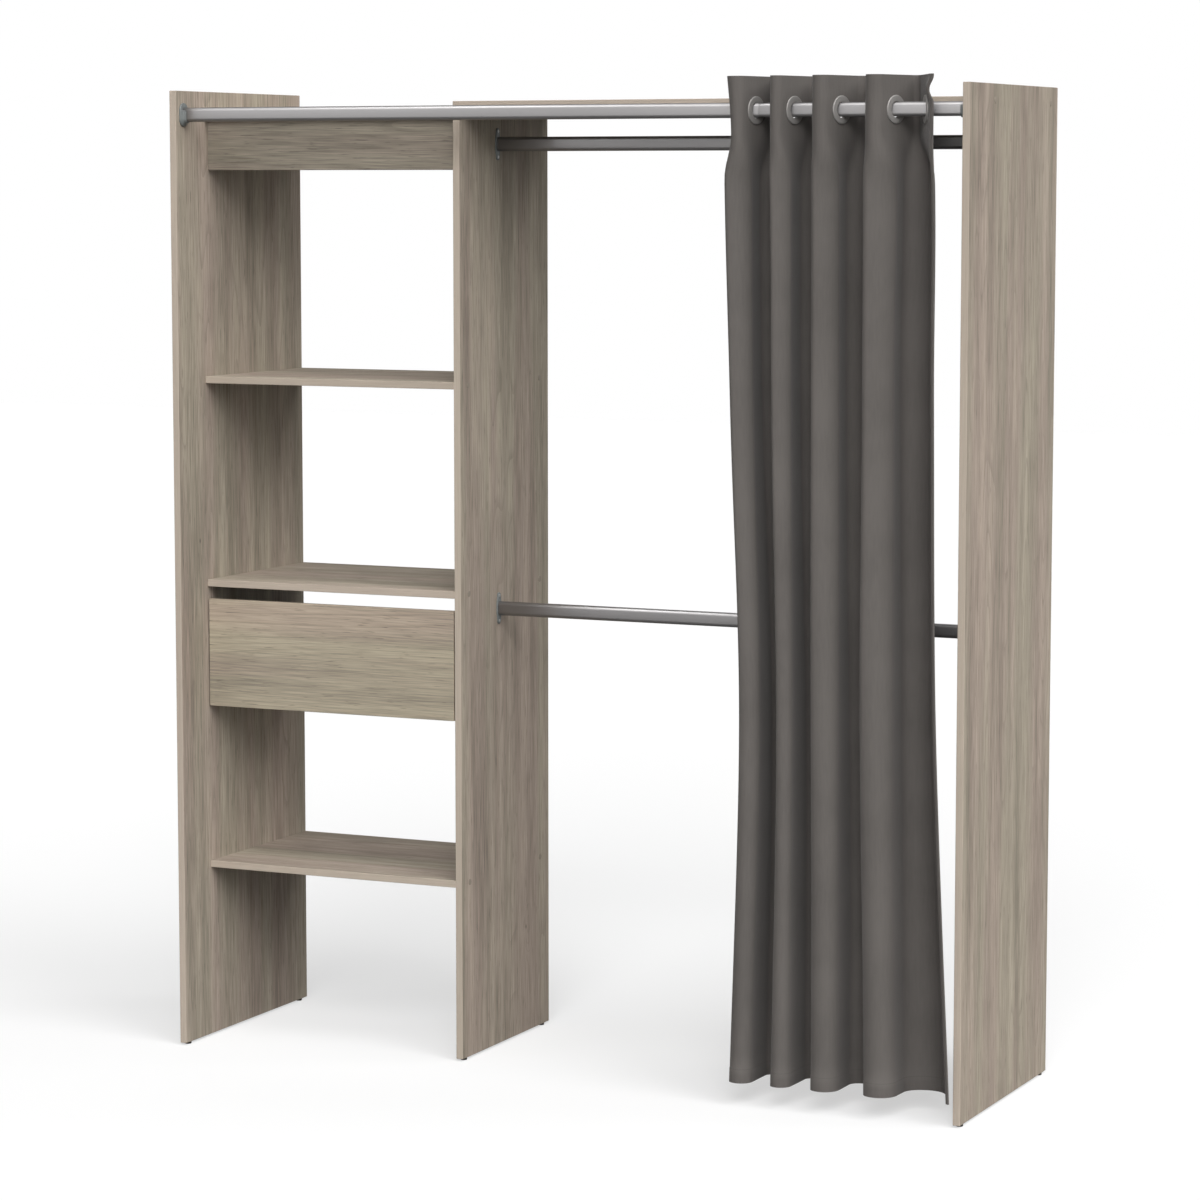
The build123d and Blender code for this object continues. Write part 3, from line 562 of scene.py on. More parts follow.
class RACK_OT_boards(bpy.types.Operator):
    """Prints the oak decor on the panels, shelves, fascia and drawer front"""
    bl_idname = "rack.boards"
    bl_label = "Boards"
    bl_options = {'REGISTER', 'UNDO'}

    def execute(self, context):
        look = settings().rack_boards
        upright = ("left_side_panel", "middle_panel", "right_side_panel")
        level = ("upper_shelf", "centre_shelf", "lower_shelf", "column_top_panel", "sliding_top_panel",
                 "top_fascia")
        for i, name in enumerate(upright + level):
            grain = "Z" if name in upright else "X"
            shift = (0.37 + 0.61 * i, 0.53 + 1.27 * i, 0)
            # The fascia's decor is darkened by a painted shade, which stands in for the soft shadow that the
            # rod and the top board cast down it, and its front is a face
            shade, band = (0.74, 0.0) if name == "top_fascia" else (1.0, 0.75)
            pale, deep = scaled(look.light, shade), scaled(look.dark, shade)
            coat(name, oak_decor("oak_decor_" + name, grain, shift, pale, deep, band, look))
        warm = oak_decor("oak_decor_drawer_front", "X", (3.1, 2.2, 0), look.warm, look.dark, 0.0, look)
        coat("drawer_front", warm)
        return {'FINISHED'}


class RACK_OT_drawer_box(bpy.types.Operator):
    """Finishes the drawer's box, its bottom, and the dowels and screws that hold the boards"""
    bl_idname = "rack.drawer_box"
    bl_label = "Drawer box and fixings"
    bl_options = {'REGISTER', 'UNDO'}

    def execute(self, context):
        board = melamine_board("grey_white_melamine", srgb("#A9A398"))
        for name in ("left_drawer_side", "right_drawer_side", "drawer_back"):
            coat(name, board)
        coat("drawer_bottom", melamine_board("white_lacquered_hardboard", srgb("#B7B3AA")))
        beech = raw_beech("raw_beech", srgb("#C8A57C"))
        for name in ("fascia_dowels", "drawer_front_dowels"):
            coat(name, beech)
        zinc = plated_metal("zinc_plated_steel", settings().rack_metals.zinc, 0.4, 0.6 * MM)
        for name in ("column_screws", "sliding_top_screws", "drawer_back_screws", "front_roller_pins",
                     "rear_roller_pins"):
            coat(name, zinc)
        coated = powder_coat("white_powder_coat", srgb("#C9C8C4"))
        for name in ("left_panel_rail", "right_panel_rail", "left_drawer_rail", "right_drawer_rail"):
            coat(name, coated)
        return {'FINISHED'}


# The oval tubes and their supports


class RACK_OT_tubes(bpy.types.Operator):
    """Draws the six telescopic oval tubes"""
    bl_idname = "rack.tubes"
    bl_label = "Tubes"
    bl_options = {'REGISTER', 'UNDO'}

    def execute(self, context):
        look = settings().rack_metals
        metal = satin_tube_metal("lacquered_satin_steel", look.satin)
        for rod in ("curtain_rod", "upper_rod", "lower_rod"):
            for kind, body in (("outer", "column"), ("inner", "sliding_side")):
                node_name = f"{rod}_{kind}_tube"
                low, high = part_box(node_name)
                size = high - low
                tube = outline(oval_points(size.z, size.y), filled=False)
                open_mesh(tube)
                bpy.ops.mesh.extrude_region_move(TRANSFORM_OT_translate={"value": (0, 0, size.x)})
                close_mesh()
                finish_with(tube, 'SOLIDIFY', thickness=look.tube_wall, offset=-1)
                bevelled(tube, 0.15 * MM, 2)
                places = [(foot_of(node_name, 1), (1, 0, 0))]
                set_out(tube, places, node_name, "drawn", body, "rod_metal", metal)
        return {'FINISHED'}


def open_top(socket, start, out, height):
    """Cuts a socket's cup off at a height, past its foot, so that a tube can be lowered in."""
    reach = 50 * MM
    place = (start + out * reach / 2, socket.data.vertices[0].co.y, height + reach / 2)
    fresh_start()
    bpy.ops.mesh.primitive_cube_add(size=1, location=place)
    cutter = bpy.context.object
    cutter.dimensions = (reach, 2 * reach, reach)
    bpy.ops.object.transform_apply(location=True, rotation=True, scale=True)
    finish_with(socket, 'BOOLEAN', operation='DIFFERENCE', object=cutter)
    discard(cutter)


class RACK_OT_sockets(bpy.types.Operator):
    """Moulds the two oval cups that hold the curtain rod"""
    bl_idname = "rack.sockets"
    bl_label = "Rod sockets"
    bl_options = {'REGISTER', 'UNDO'}

    def execute(self, context):
        plastic = moulded_plastic("grey_moulded_abs", settings().rack_fittings.support, 0.42)
        for side, body, tube, out in (("left", "column", "curtain_rod_outer_tube", 1),
                                      ("right", "sliding_side", "curtain_rod_inner_tube", -1)):
            node_name = f"curtain_rod_{side}_socket"
            low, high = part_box(node_name)
            size = high - low
            tube_low, tube_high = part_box(tube)
            # Up the foot plate, in over a sloped shoulder, out along the cup, over its rim and down inside
            rim, edge, foot = 2.4 * MM, 0.8 * MM, 2.5 * MM
            pocket = tube_high.z - tube_low.z + 0.6 * MM
            shoulder = (size.z - pocket) / 2 - rim
            cup_length = size.x - 12.3 * MM
            socket = build_up(outline(oval_points(size.z, size.y)),
                              [(0, foot), (1.2 * MM, 1.6 * MM), (shoulder - 2 * MM, 2.4 * MM),
                               (edge, 1.5 * MM), (0, cup_length), (edge, edge), (rim - 1.2 * MM, 0),
                               (0.4 * MM, -0.6 * MM), (0, 7.1 * MM - size.x)])
            place = foot_of(node_name, out)
            placed = copy_at(socket, place, (out, 0, 0))
            discard(socket)
            open_top(placed, place.x + out * 3.2 * MM, out, tube_high.z - 6.5 * MM)
            bevelled(placed, 0.3 * MM, 2)
            dress(join([placed], node_name + "_moulded"), body, "rod_support_plastic", plastic, node_name)
        return {'FINISHED'}


class RACK_OT_brackets(bpy.types.Operator):
    """Moulds the four eared plates that hold the hanging rods"""
    bl_idname = "rack.brackets"
    bl_label = "Rod brackets"
    bl_options = {'REGISTER', 'UNDO'}

    def execute(self, context):
        plastic = moulded_plastic("dark_moulded_abs", settings().rack_fittings.support, 0.42)
        spacing = settings().rack_fittings.bracket_screw_spacing
        thickness, ear_radius, height, width = 3 * MM, 6.5 * MM, 38 * MM, 20 * MM
        for rod in ("upper_rod", "lower_rod"):
            for side, body, kind, out in (("left", "column", "outer", 1),
                                          ("right", "sliding_side", "inner", -1)):
                node_name = f"{rod}_{side}_bracket"
                low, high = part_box(node_name)
                tube_low, tube_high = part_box(f"{rod}_{kind}_tube")
                outlines = [[(x, y + step) for x, y in round_points(ear_radius)]
                            for step in (-spacing / 2, spacing / 2)]
                outlines.append(oval_points(height, width))
                plate = join([build_up(outline(points), [(0, thickness)]) for points in outlines], "plate")
                open_mesh(plate)
                bpy.ops.mesh.convex_hull()
                bpy.ops.mesh.select_all(action='SELECT')
                bpy.ops.mesh.dissolve_limited(angle_limit=math.radians(1))
                bpy.ops.object.mode_set(mode='OBJECT')
                bevelled(plate, 0.8 * MM)
                # The tongue fills the tube's flat sides and leaves its round ends free
                tube = tube_high - tube_low
                side_y, side_z = (tube.y - 1.8 * MM) / 2, (tube.z - tube.y) / 2
                corners = [(side_y, side_z), (-side_y, side_z), (-side_y, -side_z), (side_y, -side_z)]
                tongue = build_up(outline(corners), [(0, high.x - low.x)])
                bevelled(tongue, 0.6 * MM)
                placed = [copy_at(part, foot_of(node_name, out), (out, 0, 0)) for part in (plate, tongue)]
                discard(plate)
                discard(tongue)
                dress(join(placed, node_name + "_moulded"), body, "rod_support_plastic", plastic, node_name)
        return {'FINISHED'}


# Small fittings


def pan_screw(screw_length):
    """A pan-head screw: its head's underside lies at the origin, and its shank points down, tip included."""
    head = build_up(outline(round_points(3.5 * MM, 32)),
                    [(0, 0.45 * MM), (0.5 * MM, 0.35 * MM), (1.0 * MM, 0.2 * MM), (0.9 * MM, 0),
                     (0.15 * MM, -0.6 * MM)])
    tip = 1.2 * MM
    shank = build_up(outline(round_points(1.7 * MM, 16)), [(0, tip - screw_length), (0.5 * MM, -tip)])
    return join([head, shank], "screw")


class RACK_OT_screws(bpy.types.Operator):
    """Turns the pan-head screws of the rod supports and of the runners"""
    bl_idname = "rack.screws"
    bl_label = "Pan-head screws"
    bl_options = {'REGISTER', 'UNDO'}

    def execute(self, context):
        look = settings().rack_fittings
        metal = plated_metal("zinc_plated_screw", settings().rack_metals.zinc, 0.35, 0.4 * MM)
        plate, head, radius, screw_length = 3 * MM, 1 * MM, 3.5 * MM, 11 * MM
        sets = []
        for side, body, out in (("left", "column", 1), ("right", "sliding_side", -1)):
            places = []
            for node_name, spacing in ((f"curtain_rod_{side}_socket", look.socket_screw_spacing),
                                       (f"upper_rod_{side}_bracket", look.bracket_screw_spacing),
                                       (f"lower_rod_{side}_bracket", look.bracket_screw_spacing)):
                place = foot_of(node_name, out) + Vector((out * plate, 0, 0))
                for step in (-spacing / 2, spacing / 2):
                    places.append((place + Vector((0, 0, step)), (out, 0, 0)))
            sets.append((side + "_rod_support_screws", body, places))
        for node_name, body, outward in (("panel_rail_screws", "column", 1),
                                         ("drawer_rail_screws", "drawer", -1)):
            low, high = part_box(node_name)
            # The panel's screws have their tips at the sides of the node's box, the drawer's their heads
            inset = screw_length if outward > 0 else head
            places = [((x + way * inset, y, (low.z + high.z) / 2), (way * outward, 0, 0))
                      for x, way in ((low.x, 1), (high.x, -1)) for y in (low.y + radius, high.y - radius)]
            sets.append((node_name, body, places))
        for node_name, body, places in sets:
            set_out(pan_screw(screw_length), places, node_name, "turned", body, "screw_steel", metal)
        return {'FINISHED'}


def screw_places(board, faces):
    """Where two screws enter each end of a board: (place, direction out of the face)."""
    look = settings().rack_fittings
    low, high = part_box(board)
    return [((x, y, (low.z + high.z) / 2), (out, 0, 0)) for x, out in faces
            for y in (low.y + look.front_setback, high.y - look.rear_setback)]


class RACK_OT_caps(bpy.types.Operator):
    """Moulds the round covers over the screw heads"""
    bl_idname = "rack.caps"
    bl_label = "Screw covers"
    bl_options = {'REGISTER', 'UNDO'}

    def execute(self, context):
        look = settings().rack_fittings
        plastic = moulded_plastic("matt_polypropylene_cap", look.cap, 0.6)
        left, middle, right = (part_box(name + "_panel") for name in ("left_side", "middle", "right_side"))
        column_faces = ((left[0].x, -1), (middle[1].x, 1))
        column = [place for board in ("upper_shelf", "centre_shelf", "lower_shelf", "column_top_panel")
                  for place in screw_places(board, column_faces)]
        sliding = screw_places("sliding_top_panel", ((right[1].x, 1),))
        radius = look.cap_diameter / 2
        for node_name, body, places in (("column_screw_caps", "column", column),
                                        ("sliding_top_screw_caps", "sliding_side", sliding)):
            cap = build_up(outline(round_points(radius)), [(0, 0.35 * MM), (0.35 * MM, 0.25 * MM),
                                                           (1.2 * MM, 0.12 * MM), (2.2 * MM, 0.06 * MM)])
            set_out(cap, places, node_name, "moulded", body, "screw_cap", plastic)
        return {'FINISHED'}


class RACK_OT_glides(bpy.types.Operator):
    """Moulds the glides under the panels"""
    bl_idname = "rack.glides"
    bl_label = "Glides"
    bl_options = {'REGISTER', 'UNDO'}

    def execute(self, context):
        plastic = moulded_plastic("black_moulded_polyethylene", settings().rack_fittings.glide, 0.55)
        radius, front_setback, rear_setback = 7 * MM, 20 * MM, 25 * MM
        for node_name, body, panels in (("column_glides", "column", ("left_side_panel", "middle_panel")),
                                        ("right_panel_glides", "sliding_side", ("right_side_panel",))):
            places = []
            for panel in panels:
                low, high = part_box(panel)
                for y in (low.y + front_setback, high.y - rear_setback):
                    places.append((((low.x + high.x) / 2, y, low.z), (0, 0, -1), (0, 1, 0)))
            glide = build_up(outline(round_points(radius)), [(0, 3.6 * MM), (0.3 * MM, 0.6 * MM),
                                                             (0.7 * MM, 0.5 * MM), (2 * MM, 0.3 * MM)])
            set_out(glide, places, node_name, "moulded", body, "glide_plastic", plastic)
        return {'FINISHED'}


class RACK_OT_rollers(bpy.types.Operator):
    """Turns the four nylon rollers of the drawer's runners"""
    bl_idname = "rack.rollers"
    bl_label = "Rollers"
    bl_options = {'REGISTER', 'UNDO'}

    def execute(self, context):
        nylon = moulded_plastic("natural_nylon", srgb("#E4E1D8"), 0.4)
        for side in ("left", "right"):
            for end in ("front", "rear"):
                node_name = f"{side}_{end}_roller"
                low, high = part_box(node_name)
                radius, half = (high.z - low.z) / 2, (high.x - low.x) / 2
                bore, seat, sunk = 2.1 * MM, 3.6 * MM, 1.5 * MM
                edge, start = 1.2 * MM, 0.4 * MM
                near = radius - 0.3 * MM
                profile = [(bore, -half), (radius - edge, -half), (near, start - half),
                           (radius, edge - half), (radius, half - edge), (near, half - start),
                           (radius - edge, half), (seat, half), (seat, half - sunk), (bore, half - sunk)]
                # The pin's head lies in the seat, which faces the drawer in front and the panel at the rear
                faces_right = (side == "left") == (end == "front")
                places = [(middle_of(node_name), (1 if faces_right else -1, 0, 0))]
                set_out(spun(profile, 40), places, node_name, "turned", node_name, "roller_nylon", nylon)
        return {'FINISHED'}


# The curtain. Each eyelet turns the cloth through the rod, and the folds between them hang to the hem.

# Places along the rod where the cloth crosses it, in millimetres from the rack's middle, for heights from the
# top down: the left edge, then the eight eyelets' folds. Between these heights the cloth flows smoothly.
eyelet_places = (429.8, 468.7, 510.9, 559.7, 608.9, 665.9, 720.8, 783.8)
fold_places = {
    2046: (379, *eyelet_places),
    1934: (388, *eyelet_places),
    1846: (381, 426, 477, 512, 564, 610, 671, 728, 800),
    1416: (395, 433, 484, 515, 565, 613, 671, 725, 803),
    790: (415, 454, 496, 526, 568, 620, 671, 732, 812),
    49: (396, 442, 486, 526, 571, 624, 682, 746, 844),
}
fold_heights = [height * MM for height in fold_places]

# How many degrees off square to the rod the cloth crosses it: in the heading, below it, and at the hem
heading_leans = (10, 13, 12, 14, 6, 17, 12, 18, 30)
hanging_leans = (2, -5, 2, -5, 2, -5, 2, -2, 16)
hem_leans = (2, 2, 2, 2, 2, 2, 2, 3, 20)


def smooth(value, low, high):
    """Zero below low, one above high, and a soft step between."""
    share = min(max((value - low) / (high - low), 0), 1)
    return share * share * (3 - 2 * share)


def crossing_place(i, z):
    """Where fold i crosses the rod's line at a height, in metres: a cubic through the chosen places."""
    k = max(n for n in range(len(fold_heights)) if z <= fold_heights[n] + 1e-6)
    k = min(k, len(fold_heights) - 2)
    columns = [places[i] * MM for places in fold_places.values()]
    slopes = []
    for n in (k, k + 1):
        before, after = max(n - 1, 0), min(n + 1, len(fold_heights) - 1)
        slopes.append((columns[after] - columns[before]) / (fold_heights[after] - fold_heights[before]))
    # In the heading the eyelets hold the folds, and only the left edge flows
    if i and k == 1:
        slopes[0] = 0
    if i and k == 0:
        return columns[0]
    span = fold_heights[k + 1] - fold_heights[k]
    t = (z - fold_heights[k]) / span
    return ((2 * t ** 3 - 3 * t ** 2 + 1) * columns[k] + (t ** 3 - 2 * t ** 2 + t) * span * slopes[0]
            + (3 * t ** 2 - 2 * t ** 3) * columns[k + 1] + (t ** 3 - t ** 2) * span * slopes[1])


def crossing_lean(i, z):
    """The cloth's lean where fold i crosses the rod's line at a height, in radians."""
    hang, low = smooth(-z, -1934 * MM, -1846 * MM), smooth(-z, -1500 * MM, -150 * MM)
    lean = heading_leans[i] * (1 - hang) + hanging_leans[i] * hang
    return math.radians(lean * (1 - low) + hem_leans[i] * low)


def turning(share, crease, crease_width, point):
    """How far a fold has turned, from 0 to 1, at a share of its round part.

    A creased fold turns quickly to its crest, slowly on across its face, and sharply at the crease.
    """
    even = share - point * math.sin(math.tau * share) / math.tau
    crest, at_crest, at_crease = 0.2, 0.56, 0.87
    if share < crest:
        creased = at_crest * share / crest
    elif share < 1 - crease_width:
        creased = at_crest + (at_crease - at_crest) * (share - crest) / (1 - crease_width - crest)
    else:
        creased = at_crease + (1 - at_crease) * (share - 1 + crease_width) / crease_width
    return (1 - crease) * even + crease * creased


def fold_curve(start, end, lean_in, lean_out, reach, crease, crease_width, point, columns, trim):
    """Evenly spaced points of one fold from crossing to crossing, as (along the rod, away from it)."""
    fine = 90
    total = math.pi - lean_in - lean_out
    x, y, top = 0.0, 0.0, 0.0
    turned = [(0.0, 0.0)]
    for i in range(fine):
        heading = -(math.pi / 2 - lean_in) + total * turning((i + 0.5) / fine, crease, crease_width, point)
        x += math.cos(heading) / fine
        y -= math.sin(heading) / fine
        top = max(top, y)
        turned.append((x, y))
    tan_in, tan_out = math.tan(lean_in), math.tan(lean_out)
    round_part = (end - start - reach * (tan_in + tan_out)) / (x - top * tan_in - (top - y) * tan_out)
    first = (reach - round_part * top) / math.cos(lean_in)
    last = (reach - round_part * top + round_part * y) / math.cos(lean_out)
    rise = (first * math.sin(lean_in), first * math.cos(lean_in))
    line = [(start, 0.0)]
    line += [(start + rise[0] + round_part * a, rise[1] + round_part * b) for a, b in turned]
    line.append((end, 0.0))
    lengths = [first] + [round_part / fine] * fine + [last]
    return spaced(line, lengths, columns, trim)


def spaced(line, lengths, columns, trim):
    """Points at even distances along a line that is trimmed at its start, and the whole line's length."""
    total = sum(lengths)
    points, k, passed = [], 0, 0.0
    for i in range(columns + 1):
        goal = trim + (total - trim) * i / columns
        while k < len(lengths) - 1 and passed + lengths[k] < goal:
            passed += lengths[k]
            k += 1
        t = (goal - passed) / lengths[k] if lengths[k] else 0
        a, b = line[k], line[k + 1]
        points.append((a[0] + (b[0] - a[0]) * t, a[1] + (b[1] - a[1]) * t))
    return points, total


class Curtain:
    """The cloth's shape: its line at any height, and the eyelets' places on it."""

    def __init__(self):
        self.look = settings().rack_curtain
        self.rod_y = middle_of("curtain_rod_outer_tube").y
        rod_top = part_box("curtain_rod_outer_tube")[1].z
        cloth_low, cloth_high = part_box("curtain_cloth")
        self.top, self.hem = cloth_high.z, cloth_low.z
        # The eyelets hang on the tube, so the tops of their openings touch it
        self.eyelet_z = rod_top + 0.2 * MM - self.look.eyelet_bore / 2
        # How far in front of the rod's line the cloth starts, and how far it ends past the last eyelet
        self.left_edge, self.right_edge = 14 * MM, 46 * MM

    def line(self, z):
        """The cloth's points at a height, from left to right, and how far along the flat cloth each is."""
        # The front folds sharpen to a crease below the eyelets, and soften again towards the hem
        below = smooth(-z, -1925 * MM, -1840 * MM)
        settle = smooth(-z, -1500 * MM, -150 * MM)
        sharp = below * (1 - 0.7 * settle)
        width = 0.03 + 0.2 * settle
        points, flat = [], []
        passed, last = 0.0, len(eyelet_places)
        for i in range(last):
            front = i % 2 == 0
            reach = self.look.front_reach if front else self.look.back_reach
            start, end = crossing_place(i, z), crossing_place(i + 1, z)
            columns = self.look.fold_columns * (2 if front else 1) // 2
            # The front folds are a little pointed, and the back ones rather flat
            crease, point = (sharp, 0.1) if front else (0, -0.25)
            # The left edge starts part of the way up the first flank
            trim = 0 if i else self.left_edge / math.cos(crossing_lean(0, z))
            fold, whole = fold_curve(start, end, crossing_lean(i, z), crossing_lean(i + 1, z), reach, crease,
                                     width, point, columns, trim)
            side = -1 if front else 1
            for k, (x, y) in enumerate(fold):
                if k or not points:
                    points.append((x, self.rod_y + side * y))
                    flat.append(passed + trim + (whole - trim) * k / columns)
            passed += whole
        # The right edge's loose top corner nods in by up to 9 degrees and flares out again
        nod = smooth(z, 1992 * MM, 2014 * MM) * (1 - smooth(z, 2018 * MM, 2042 * MM))
        lean = crossing_lean(last, z) - math.radians(9) * nod
        x, y = crossing_place(last, z), self.rod_y
        edge_columns = 16
        step = self.right_edge / edge_columns / math.cos(lean)
        for k in range(edge_columns):
            # The hem's last 6 mm turn towards the front
            way = lean + math.radians(40 if k >= edge_columns - 2 else 0)
            x, y = x + step * math.sin(way), y - step * math.cos(way)
            passed += step
            points.append((x, y))
            flat.append(passed)
        return points, flat

    def eyelet_frame(self, i):
        """An eyelet's centre, the cloth's run across it, and the way its front faces."""
        lean = math.radians(heading_leans[i + 1])
        side = 1 if i % 2 == 0 else -1
        run = Vector((math.sin(lean), side * math.cos(lean), 0))
        facing = Vector((side * math.cos(lean), -math.sin(lean), 0))
        return Vector((eyelet_places[i] * MM, self.rod_y, self.eyelet_z)), run, facing


class RACK_OT_eyelets(bpy.types.Operator):
    """Rolls the eyelets' front and back rings"""
    bl_idname = "rack.eyelets"
    bl_label = "Eyelets"
    bl_options = {'REGISTER', 'UNDO'}

    def execute(self, context):
        look = settings().rack_curtain
        curtain = Curtain()
        # The plating is blasted matt, so it scatters about half of its light
        nickel = plated_metal("matt_nickel_plated_steel", settings().rack_metals.nickel, 0.5, 0.5 * MM,
                              metallic=0.45)
        outer, bore = look.eyelet_diameter / 2, look.eyelet_bore / 2
        # The rings' edges lie 0.2 mm off the faces of the cloth, whose middle is at height 0
        cloth = 0.8 * MM
        top = cloth + 2.6 * MM
        barrel = bore + 1.2 * MM
        back = -cloth - 1.8 * MM
        # The front ring's rolled flange runs over into its barrel, which the back ring grips
        front_outline = [(outer, cloth), (outer, top - 0.9 * MM), (outer - 0.4 * MM, top - 0.4 * MM),
                         (outer - 1.2 * MM, top - 0.1 * MM), (outer - 2.6 * MM, top), (bore + 2 * MM, top),
                         (bore + 0.8 * MM, top - 0.1 * MM), (bore + 0.2 * MM, top - 0.4 * MM),
                         (bore, top - 0.9 * MM), (bore, back), (barrel, back), (barrel, cloth)]
        back_outline = [(barrel, -cloth), (barrel, back + 0.4 * MM), (barrel + 0.4 * MM, back),
                        (outer - 1.6 * MM, back), (outer - 0.5 * MM, back + 0.4 * MM),
                        (outer, back + 1 * MM), (outer, -cloth)]
        for node_name, points in (("eyelet_front_rings", front_outline),
                                  ("eyelet_back_rings", back_outline)):
            places = []
            for i in range(len(eyelet_places)):
                centre, run, facing = curtain.eyelet_frame(i)
                places.append((centre, facing))
            set_out(spun(points), places, node_name, "rolled", "curtain", "eyelet_metal", nickel)
        return {'FINISHED'}


class RACK_OT_curtain(bpy.types.Operator):
    """Hangs the cloth in its folds, with a hole under each eyelet"""
    bl_idname = "rack.curtain"
    bl_label = "Curtain"
    bl_options = {'REGISTER', 'UNDO'}

    def execute(self, context):
        look = settings().rack_curtain
        curtain = Curtain()
        rows = self.row_heights(curtain)
        lines = [curtain.line(z)[0] for z in rows]
        eyelets = self.eyelet_marks(curtain)
        heading_flat = curtain.line(curtain.eyelet_z)[1]
        columns = len(heading_flat)
        places, flats = [], []
        for z, line in zip(rows, lines):
            for across, (x, y) in zip(heading_flat, line):
                places.append(self.settled(Vector((x, y, z)), (across, z), eyelets, curtain))
                flats.append((across, z))
        # The hole's edge lies under the rings, clear of the barrel inside it
        faces, gone = [], set()
        hole = 20.6 * MM
        for r in range(len(rows) - 1):
            for k in range(columns - 1):
                start = r * columns + k
                corners = (start, start + 1, start + columns + 1, start + columns)
                middle = [sum(flats[c][n] for c in corners) / 4 for n in (0, 1)]
                if any(math.hypot(middle[0] - s, middle[1] - z) < hole for s, z, _ in eyelets):
                    gone.update(corners)
                else:
                    faces.append(corners)
        rim = gone & {c for face in faces for c in face}
        for c in rim:
            s, z, i = min(eyelets, key=lambda e: math.hypot(flats[c][0] - e[0], flats[c][1] - e[1]))
            away = Vector((flats[c][0] - s, flats[c][1] - z)).normalized() * hole
            centre, run, facing = curtain.eyelet_frame(i)
            places[c] = centre + run * away.x + Vector((0, 0, away.y))
            flats[c] = (s + away.x, z + away.y)
        used = sorted({c for face in faces for c in face})
        renumbered = {c: n for n, c in enumerate(used)}
        mesh = bpy.data.meshes.new("curtain_hung")
        mesh.from_pydata([places[c] for c in used], [], [[renumbered[c] for c in face] for face in faces])
        uv = mesh.uv_layers.new(name="flat_cloth")
        for loop in mesh.loops:
            uv.data[loop.index].uv = flats[used[loop.vertex_index]]
        cloth = bpy.data.objects.new("curtain_hung", mesh)
        context.scene.collection.objects.link(cloth)
        first, last = heading_flat[0], heading_flat[-1]
        hem = cloth.vertex_groups.new(name="hem")
        for n, c in enumerate(used):
            across, height = flats[c]
            if (min(across - first, last - across) < look.side_hem
                    or height - curtain.hem < look.bottom_hem - 1 * MM):
                hem.add([n], 1.0, 'REPLACE')
        finish_with(cloth, 'SOLIDIFY', thickness=look.hem_thickness, offset=0, vertex_group=hem.name,
                    thickness_vertex_group=look.thickness / look.hem_thickness)
        weave = woven_cloth("plain_weave_polyester", look, (first, last, curtain.hem))
        dress(cloth, "curtain", "curtain_fabric", weave, "curtain_cloth")
        return {'FINISHED'}

    def row_heights(self, curtain):
        """Close rows in the heading, wider ones below, and a pair at the top of the hem."""
        heading_rows, hanging_rows = 26, 70
        bottom = fold_heights[1]
        hem_top = curtain.hem + curtain.look.bottom_hem
        heading = [curtain.top + (bottom - curtain.top) * i / heading_rows for i in range(heading_rows)]
        hanging = [bottom + (hem_top - bottom) * (i / hanging_rows) ** 1.2 for i in range(hanging_rows + 1)]
        return heading + hanging + [hem_top - 2 * MM, (hem_top + curtain.hem) / 2, curtain.hem]

    def eyelet_marks(self, curtain):
        """Each eyelet's place on the flat cloth, and its number."""
        points, flat = curtain.line(curtain.eyelet_z)
        marks = []
        for i, place in enumerate(eyelet_places):
            near = min(range(len(points)), key=lambda k: math.hypot(points[k][0] - place * MM,
                                                                    points[k][1] - curtain.rod_y))
            marks.append((flat[near], curtain.eyelet_z, i))
        return marks

    def settled(self, place, mark, eyelets, curtain):
        """Draws the cloth flat against the eyelets, and lets it wander a little where it hangs free."""
        # It wanders about once in 110 mm across and once in 0.6 m down
        drift = Vector((mark[0] * 9, mark[1] * 1.6, 0.3))
        loose = noise.noise(drift) * 2.2 * MM * smooth(abs(mark[1] - curtain.eyelet_z), 30 * MM, 200 * MM)
        place = place + Vector((loose * 0.6, loose, 0))
        ring_edge, reach = 28 * MM, 42 * MM
        for s, z, i in eyelets:
            distance = math.hypot(mark[0] - s, mark[1] - z)
            if distance < reach:
                centre, run, facing = curtain.eyelet_frame(i)
                flat = centre + run * (mark[0] - s) + Vector((0, 0, mark[1] - z))
                place = place.lerp(flat, 1 - smooth(distance, ring_edge, reach))
        return place


# The studio


